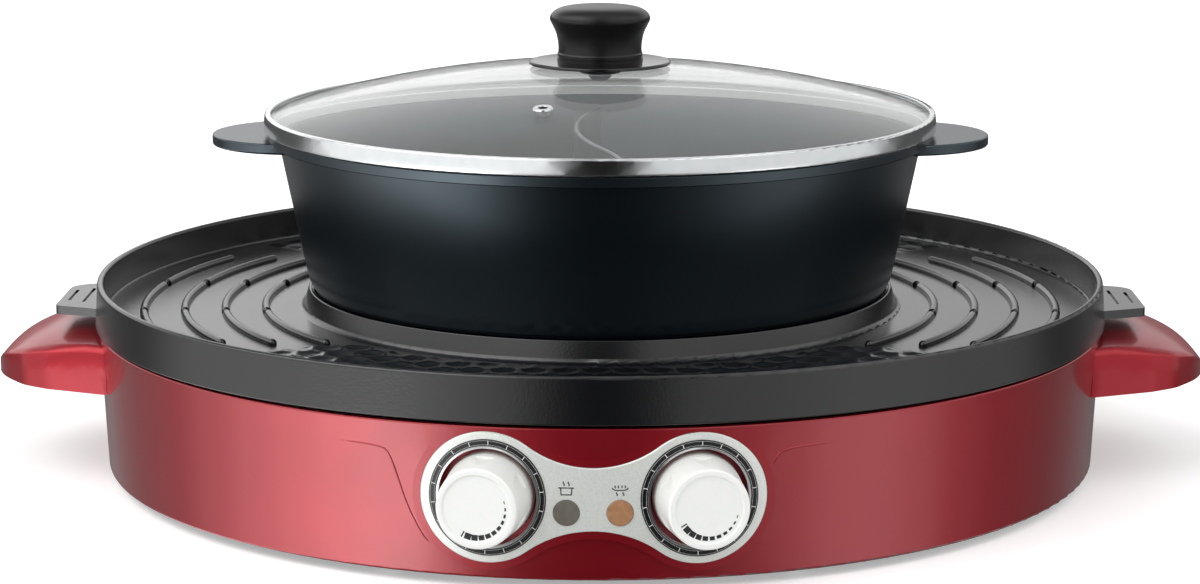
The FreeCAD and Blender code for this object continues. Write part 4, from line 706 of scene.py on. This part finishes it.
# Rolled sheet: lines of about 0.1 mm, drawn at 0.8 mm so that they show, streak the shine one way
line_stretch = 50         # their length over their width
pan_sheet, tree, shader, place = new_finish("pressed_aluminium_sheet", Metallic=1.0, Roughness=0.3)
rolled = add(tree, "ShaderNodeMapping", {"Vector": place,
                                         "Scale": (1 / line_stretch, 1.0, 1.0)}).outputs[0]
lines = clouded(tree, shader, rolled, 0.8, "#C3C6C8", "#DADCDD", 4.0)
rough = add(tree, "ShaderNodeMapRange", {0: lines, 3: 0.22, 4: 0.42}).outputs[0]
tree.links.new(rough, shader.inputs["Roughness"])
dress(pan_sheet, "reflector_pan")

# Steel that has been hot: dull, in grey and brown patches of some 18 mm
sheath, tree, shader, place = new_finish("heat_darkened_steel", Metallic=0.8, Roughness=0.5)
clouded(tree, shader, place, 18.0, "#3A3A3C", "#6A6560", 5.0)
dress(sheath, "grill_element")

# Ground casting: tool marks round the middle, about 0.4 mm apart and drawn at 0.9 mm so that they
# show, draw the light out into rays
cast_plate, tree, shader, place = new_finish("ground_cast_aluminium", Metallic=1.0, Roughness=0.4)
flat = add(tree, "ShaderNodeVectorMath", {0: place, 1: (1, 1, 0)}, operation="MULTIPLY").outputs[0]
out = add(tree, "ShaderNodeVectorMath", {0: flat}, operation="LENGTH").outputs["Value"]
rings = add(tree, "ShaderNodeTexNoise", {"W": out, "Scale": 1 / 0.9, "Detail": 3.0},
            noise_dimensions="1D").outputs[0]
tinted(tree, shader, rings, "#7E8082", "#A4A6A8")
groove = add(tree, "ShaderNodeBump", {"Height": rings, "Strength": 0.5, "Distance": 0.0001}).outputs[0]
tree.links.new(groove, shader.inputs["Normal"])
dress(cast_plate, "hotplate")

# ---------------------------------------------------------------------------------------------
# Grill plate
# Die-cast aluminium under a black non-stick coat with fine specks. It lies loose on the base and
# is open in the middle for the pot; its floor is hammered in front and behind.
# ---------------------------------------------------------------------------------------------

# Baked non-stick coat: black with fine specks, its gloss softened by orange peel of about 1 mm
nonstick, tree, shader, place = new_finish(
    "black_nonstick_coat", Roughness=0.24, Specular_IOR_Level=0.66)
clouded(tree, shader, place, 0.7, "#040507", "#0A0C0F")
orange = add(tree, "ShaderNodeTexNoise", {"Vector": place, "Scale": 1 / 1.1, "Detail": 2.0}).outputs[0]
dimple = add(tree, "ShaderNodeBump", {"Height": orange, "Strength": 0.25, "Distance": 0.00012}).outputs[0]
tree.links.new(dimple, shader.inputs["Normal"])
dress(nonstick, "grill_plate")

# The floor's front and back are cast with hollows in a honeycomb, the ridges between them rounded
ridge_power = 2.6         # how narrow the ridges are
hollow_lift = 0.03        # the hollows' lowest point over the plate's floor
edge_sunk = 0.12          # the skin's outer edge under that floor
skin_thickness = 0.4
grid_across, grid_along = 52, 190
hollow_tree, given = new_tree("hammered_floor", "Floor", {
    "Blank": "Geometry", "Pitch": "Float", "Depth": "Float", "Inner radius": "Float",
    "Outer radius": "Float", "Clear of middle": "Float", "Widest angle": "Float", "Fade": "Float",
    "Floor height": "Float", "Finish": "Material"})
tree = hollow_tree
grid = add(tree, "GeometryNodeMeshGrid", {
    "Size X": 1.0, "Size Y": 1.0, "Vertices X": grid_across, "Vertices Y": grid_along}).outputs[0]
point = add(tree, "GeometryNodeInputPosition").outputs[0]
point = add(tree, "ShaderNodeSeparateXYZ", {0: point}).outputs

# The flat grid is bent round the plate's middle, between two radii and clear of the side zones
radius = add(tree, "ShaderNodeMapRange", {
    0: point["X"], 1: -0.5, 2: 0.5, 3: given["Inner radius"], 4: given["Outer radius"]}).outputs[0]
limit = add(tree, "ShaderNodeMath", {0: given["Clear of middle"], 1: radius},
            operation="DIVIDE").outputs[0]
limit = add(tree, "ShaderNodeMath", {0: limit}, operation="ARCCOSINE").outputs[0]
limit = add(tree, "ShaderNodeMath", {0: limit, 1: given["Widest angle"]},
            operation="MINIMUM").outputs[0]
angle = add(tree, "ShaderNodeMath", {0: point["Y"], 1: 2.0}, operation="MULTIPLY").outputs[0]
angle = add(tree, "ShaderNodeMath", {0: angle, 1: limit}, operation="MULTIPLY").outputs[0]
along = add(tree, "ShaderNodeMath", {0: angle}, operation="SINE").outputs[0]
along = add(tree, "ShaderNodeMath", {0: radius, 1: along}, operation="MULTIPLY").outputs[0]
ahead = add(tree, "ShaderNodeMath", {0: angle}, operation="COSINE").outputs[0]
ahead = add(tree, "ShaderNodeMath", {0: radius, 1: ahead}, operation="MULTIPLY").outputs[0]
ahead = add(tree, "ShaderNodeMath", {0: ahead, 1: -1.0}, operation="MULTIPLY").outputs[0]
spot = add(tree, "ShaderNodeCombineXYZ", {0: along, 1: ahead}).outputs[0]

# Two offset grids of cells make the honeycomb; each point takes the nearer cell's middle
half_cell = add(tree, "ShaderNodeVectorMath", {
    0: (0.5, math.sqrt(3) / 2, 0.5), "Scale": given["Pitch"]}, operation="SCALE").outputs[0]
less_half = add(tree, "ShaderNodeVectorMath", {0: half_cell, "Scale": -1.0},
                operation="SCALE").outputs[0]
shifted = add(tree, "ShaderNodeVectorMath", {0: spot, 1: half_cell}, operation="ADD").outputs[0]
edges = []
for start in (spot, shifted):
    offset = add(tree, "ShaderNodeVectorMath", {0: start, 1: half_cell, 2: less_half},
                 operation="WRAP").outputs[0]
    side_on = add(tree, "ShaderNodeVectorMath", {0: offset}, operation="ABSOLUTE").outputs[0]
    slant = add(tree, "ShaderNodeVectorMath", {0: side_on, 1: (0.5, math.sqrt(3) / 2, 0.0)},
                operation="DOT_PRODUCT").outputs["Value"]
    side_on = add(tree, "ShaderNodeSeparateXYZ", {0: side_on}).outputs["X"]
    edges.append(add(tree, "ShaderNodeMath", {0: side_on, 1: slant}, operation="MAXIMUM").outputs[0])
edge = add(tree, "ShaderNodeMath", {0: edges[0], 1: edges[1]}, operation="MINIMUM").outputs[0]
half_pitch = add(tree, "ShaderNodeMath", {0: given["Pitch"], 1: 0.5}, operation="MULTIPLY").outputs[0]
edge = add(tree, "ShaderNodeMath", {0: edge, 1: half_pitch}, operation="DIVIDE").outputs[0]
ridge = add(tree, "ShaderNodeMath", {0: edge, 1: ridge_power}, operation="POWER").outputs[0]
ridge = add(tree, "ShaderNodeMath", {0: ridge, 1: given["Depth"]}, operation="MULTIPLY").outputs[0]
ridge = add(tree, "ShaderNodeMath", {0: ridge, 1: hollow_lift}, operation="ADD").outputs[0]

# All round its edge the skin fades into the plate's floor
run = add(tree, "ShaderNodeMath", {0: given["Outer radius"], 1: given["Inner radius"]},
          operation="SUBTRACT").outputs[0]
arc = add(tree, "ShaderNodeMath", {0: limit, 1: radius}, operation="MULTIPLY").outputs[0]
arc = add(tree, "ShaderNodeMath", {0: arc, 1: 2.0}, operation="MULTIPLY").outputs[0]
inward = []
for place, length in ((point["X"], run), (point["Y"], arc)):
    share = add(tree, "ShaderNodeMath", {0: place}, operation="ABSOLUTE").outputs[0]
    share = add(tree, "ShaderNodeMath", {0: 0.5, 1: share}, operation="SUBTRACT").outputs[0]
    inward.append(add(tree, "ShaderNodeMath", {0: share, 1: length}, operation="MULTIPLY").outputs[0])
inside = add(tree, "ShaderNodeMath", {0: inward[0], 1: inward[1]}, operation="MINIMUM").outputs[0]
inside = add(tree, "ShaderNodeMath", {0: inside, 1: given["Fade"]}, operation="DIVIDE").outputs[0]
inside = add(tree, "ShaderNodeMapRange", {0: inside}, interpolation_type="SMOOTHSTEP").outputs[0]
height = add(tree, "ShaderNodeMix", {0: inside, 2: -edge_sunk, 3: ridge}).outputs[0]
height = add(tree, "ShaderNodeMath", {0: height, 1: given["Floor height"]}, operation="ADD").outputs[0]
spot = add(tree, "ShaderNodeCombineXYZ", {0: along, 1: ahead, 2: height}).outputs[0]
front = add(tree, "GeometryNodeSetPosition", {"Geometry": grid, "Position": spot}).outputs[0]
back = add(tree, "GeometryNodeTransform", {"Geometry": front, "Rotation": (0, 0, math.pi)}).outputs[0]
zones = add(tree, "GeometryNodeJoinGeometry", {0: front})
tree.links.new(back, zones.inputs[0])
small = add(tree, "GeometryNodeTransform", {"Geometry": zones.outputs[0],
                                            "Scale": (0.001, 0.001, 0.001)}).outputs[0]
smooth = add(tree, "GeometryNodeSetShadeSmooth", {0: small}).outputs[0]
whole = add(tree, "GeometryNodeRealizeInstances", {0: smooth}).outputs[0]
dressed = add(tree, "GeometryNodeSetMaterial", {0: whole, "Material": given["Finish"]}).outputs[0]
add(tree, "NodeGroupOutput", {0: dressed})

holder = bpy.data.objects.new("hollows", bpy.data.meshes.new("hollows"))
scene.collection.objects.link(holder)
grown_by(holder, hollow_tree, {
    "Pitch": 12.0, "Depth": 1.25, "Inner radius": 132.5, "Outer radius": 206.5, "Clear of middle": 96.0,
    "Widest angle": math.radians(51), "Fade": 4.0, "Floor height": 67.7, "Finish": nonstick})
thick = holder.modifiers.new("thick", "SOLIDIFY")
thick.thickness = skin_thickness / 1000
thick.offset = -1.0
hammered = applied(holder, "hammered_floor")
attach(hammered, "grill_plate")

# ---------------------------------------------------------------------------------------------
# Pot
# Die-cast aluminium pot with a divider; its non-stick coat is more satin and a little blue. It
# stands loose on the heating plate, and is lifted by its two ears.
# ---------------------------------------------------------------------------------------------

# Sprayed satin coat: an even, slightly blue sheen, with specks under 1 mm that hardly dent it
pot_coat, tree, shader, place = new_finish(
    "satin_blue_black_coat", Roughness=0.30, Specular_IOR_Level=1.0, Specular_Tint=colour("#CFE4F0"))
speck = clouded(tree, shader, place, 0.9, "#010508", "#060D13")
dimple = add(tree, "ShaderNodeBump", {"Height": speck, "Strength": 0.06, "Distance": 0.0001}).outputs[0]
tree.links.new(dimple, shader.inputs["Normal"])
dress(pot_coat, "pot")

# ---------------------------------------------------------------------------------------------
# Lid
# Clear tempered glass in a folded stainless band, with a silicone gasket between them. A vent
# eyelet is pressed into it, and a phenolic knob is screwed on over a lacquered disc.
# ---------------------------------------------------------------------------------------------

# Polished stainless: a neutral mirror, faintly cloudy in patches of 6 mm
stainless, tree, shader, place = new_finish("polished_stainless_band", Metallic=1.0, Roughness=0.16)
clouded(tree, shader, place, 6.0, "#CFD2D3", "#DFE1E2", 3.0)
dress(stainless, "lid_band", "vent_eyelet")

# The skirt inside the pot stays as rolled: satin and pale, with no mirror image
satin_stainless, tree, shader, place = new_finish("satin_stainless_skirt", Metallic=0.7, Roughness=0.6)
clouded(tree, shader, place, 6.0, "#E0E2E2", "#EBECEC", 3.0)

# The outer wall leans in to the top and is a little bowed; the skirt is drawn in, clear of the
# pot's wall
band_radius = 143.0
band_wall = 1.0           # what lies less than this inside the radius is the wall
band_face = 0.05          # and less than this, its outer face
band_foot = 0.2           # share of its height by which the wall's foot rolls under
band_lean = 0.45
band_bow = 0.12
band_rings = 8
skirt_start = 2.0         # below the wall
skirt_longer = 0.5        # the pot's ledge is 0.9 mm below the skirt
skirt_inward = 0.8
satin_start = 0.2         # below the wall
band_crease = 35.0
form = merged_copy("lid_band")
wall = [v.co.z for v in form.verts if v.co.xy.length > band_radius - band_face]
low, high = min(wall), max(wall)
for step in range(1, band_rings):
    bmesh.ops.bisect_plane(form, geom=form.verts[:] + form.edges[:] + form.faces[:], plane_no=(0, 0, 1),
                           plane_co=(0, 0, low + (high - low) * step / band_rings))
for v in form.verts:
    share = (v.co.z - low) / (high - low)
    if v.co.xy.length > band_radius - band_wall and share > -band_foot:
        share = kept_within(share, 0.0, 1.0)
        out = band_lean * (1 - share) + band_bow * 4 * share * (1 - share)
        v.co.xy *= 1 + out / v.co.xy.length
    elif v.co.z < low - skirt_start:
        v.co.xy *= 1 - skirt_inward / v.co.xy.length
        v.co.z -= skirt_longer
for face in form.faces:
    face.material_index = 1 if face.calc_center_median().z < low - satin_start else 0
mesh = remade(form, "rolled_band", band_crease, stainless, satin_stainless)
rolled_band = bpy.data.objects.new("rolled_band", mesh)
scene.collection.objects.link(rolled_band)
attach(rolled_band, "lid")
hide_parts("lid_band")

# Silicone rubber: dull and soft to the eye, grey where filled and milky where not
silicone, tree, shader, place = new_finish("grey_silicone_rubber", Roughness=0.6)
clouded(tree, shader, place, 2.0, "#5E5F60", "#6B6C6D")
dress(silicone, "lid_washer")

clear_silicone, tree, shader, place = new_finish("milky_silicone_rubber", Roughness=0.4)
clouded(tree, shader, place, 2.0, "#DCDEDC", "#E6E7E5")
dress(clear_silicone, "lid_gasket")

# Tempered glass: clear, with a slow change of tint over 60 mm; the low index keeps its reflections weak
tempered, tree, shader, place = new_finish(
    "clear_tempered_glass", Roughness=0.0, IOR=1.09, Transmission_Weight=0.93)
clouded(tree, shader, place, 60.0, "#FAFCFB", "#FEFFFF")
dress(tempered, "lid_glass")

# Moulded black phenolic: a soft gloss from the mould, with a faint swirl of 5 mm
black_phenolic, tree, shader, place = new_finish(
    "polished_black_phenolic", Roughness=0.34, Specular_IOR_Level=0.3)
clouded(tree, shader, place, 5.0, "#0B0B0C", "#161617", 4.0)
dress(black_phenolic, "lid_knob")

# Baked lacquer: a wet, deep black gloss
disc_lacquer, tree, shader, place = new_finish("gloss_black_lacquer", Roughness=0.14)
clouded(tree, shader, place, 9.0, "#0C0C0D", "#151516")
dress(disc_lacquer, "knob_disc")
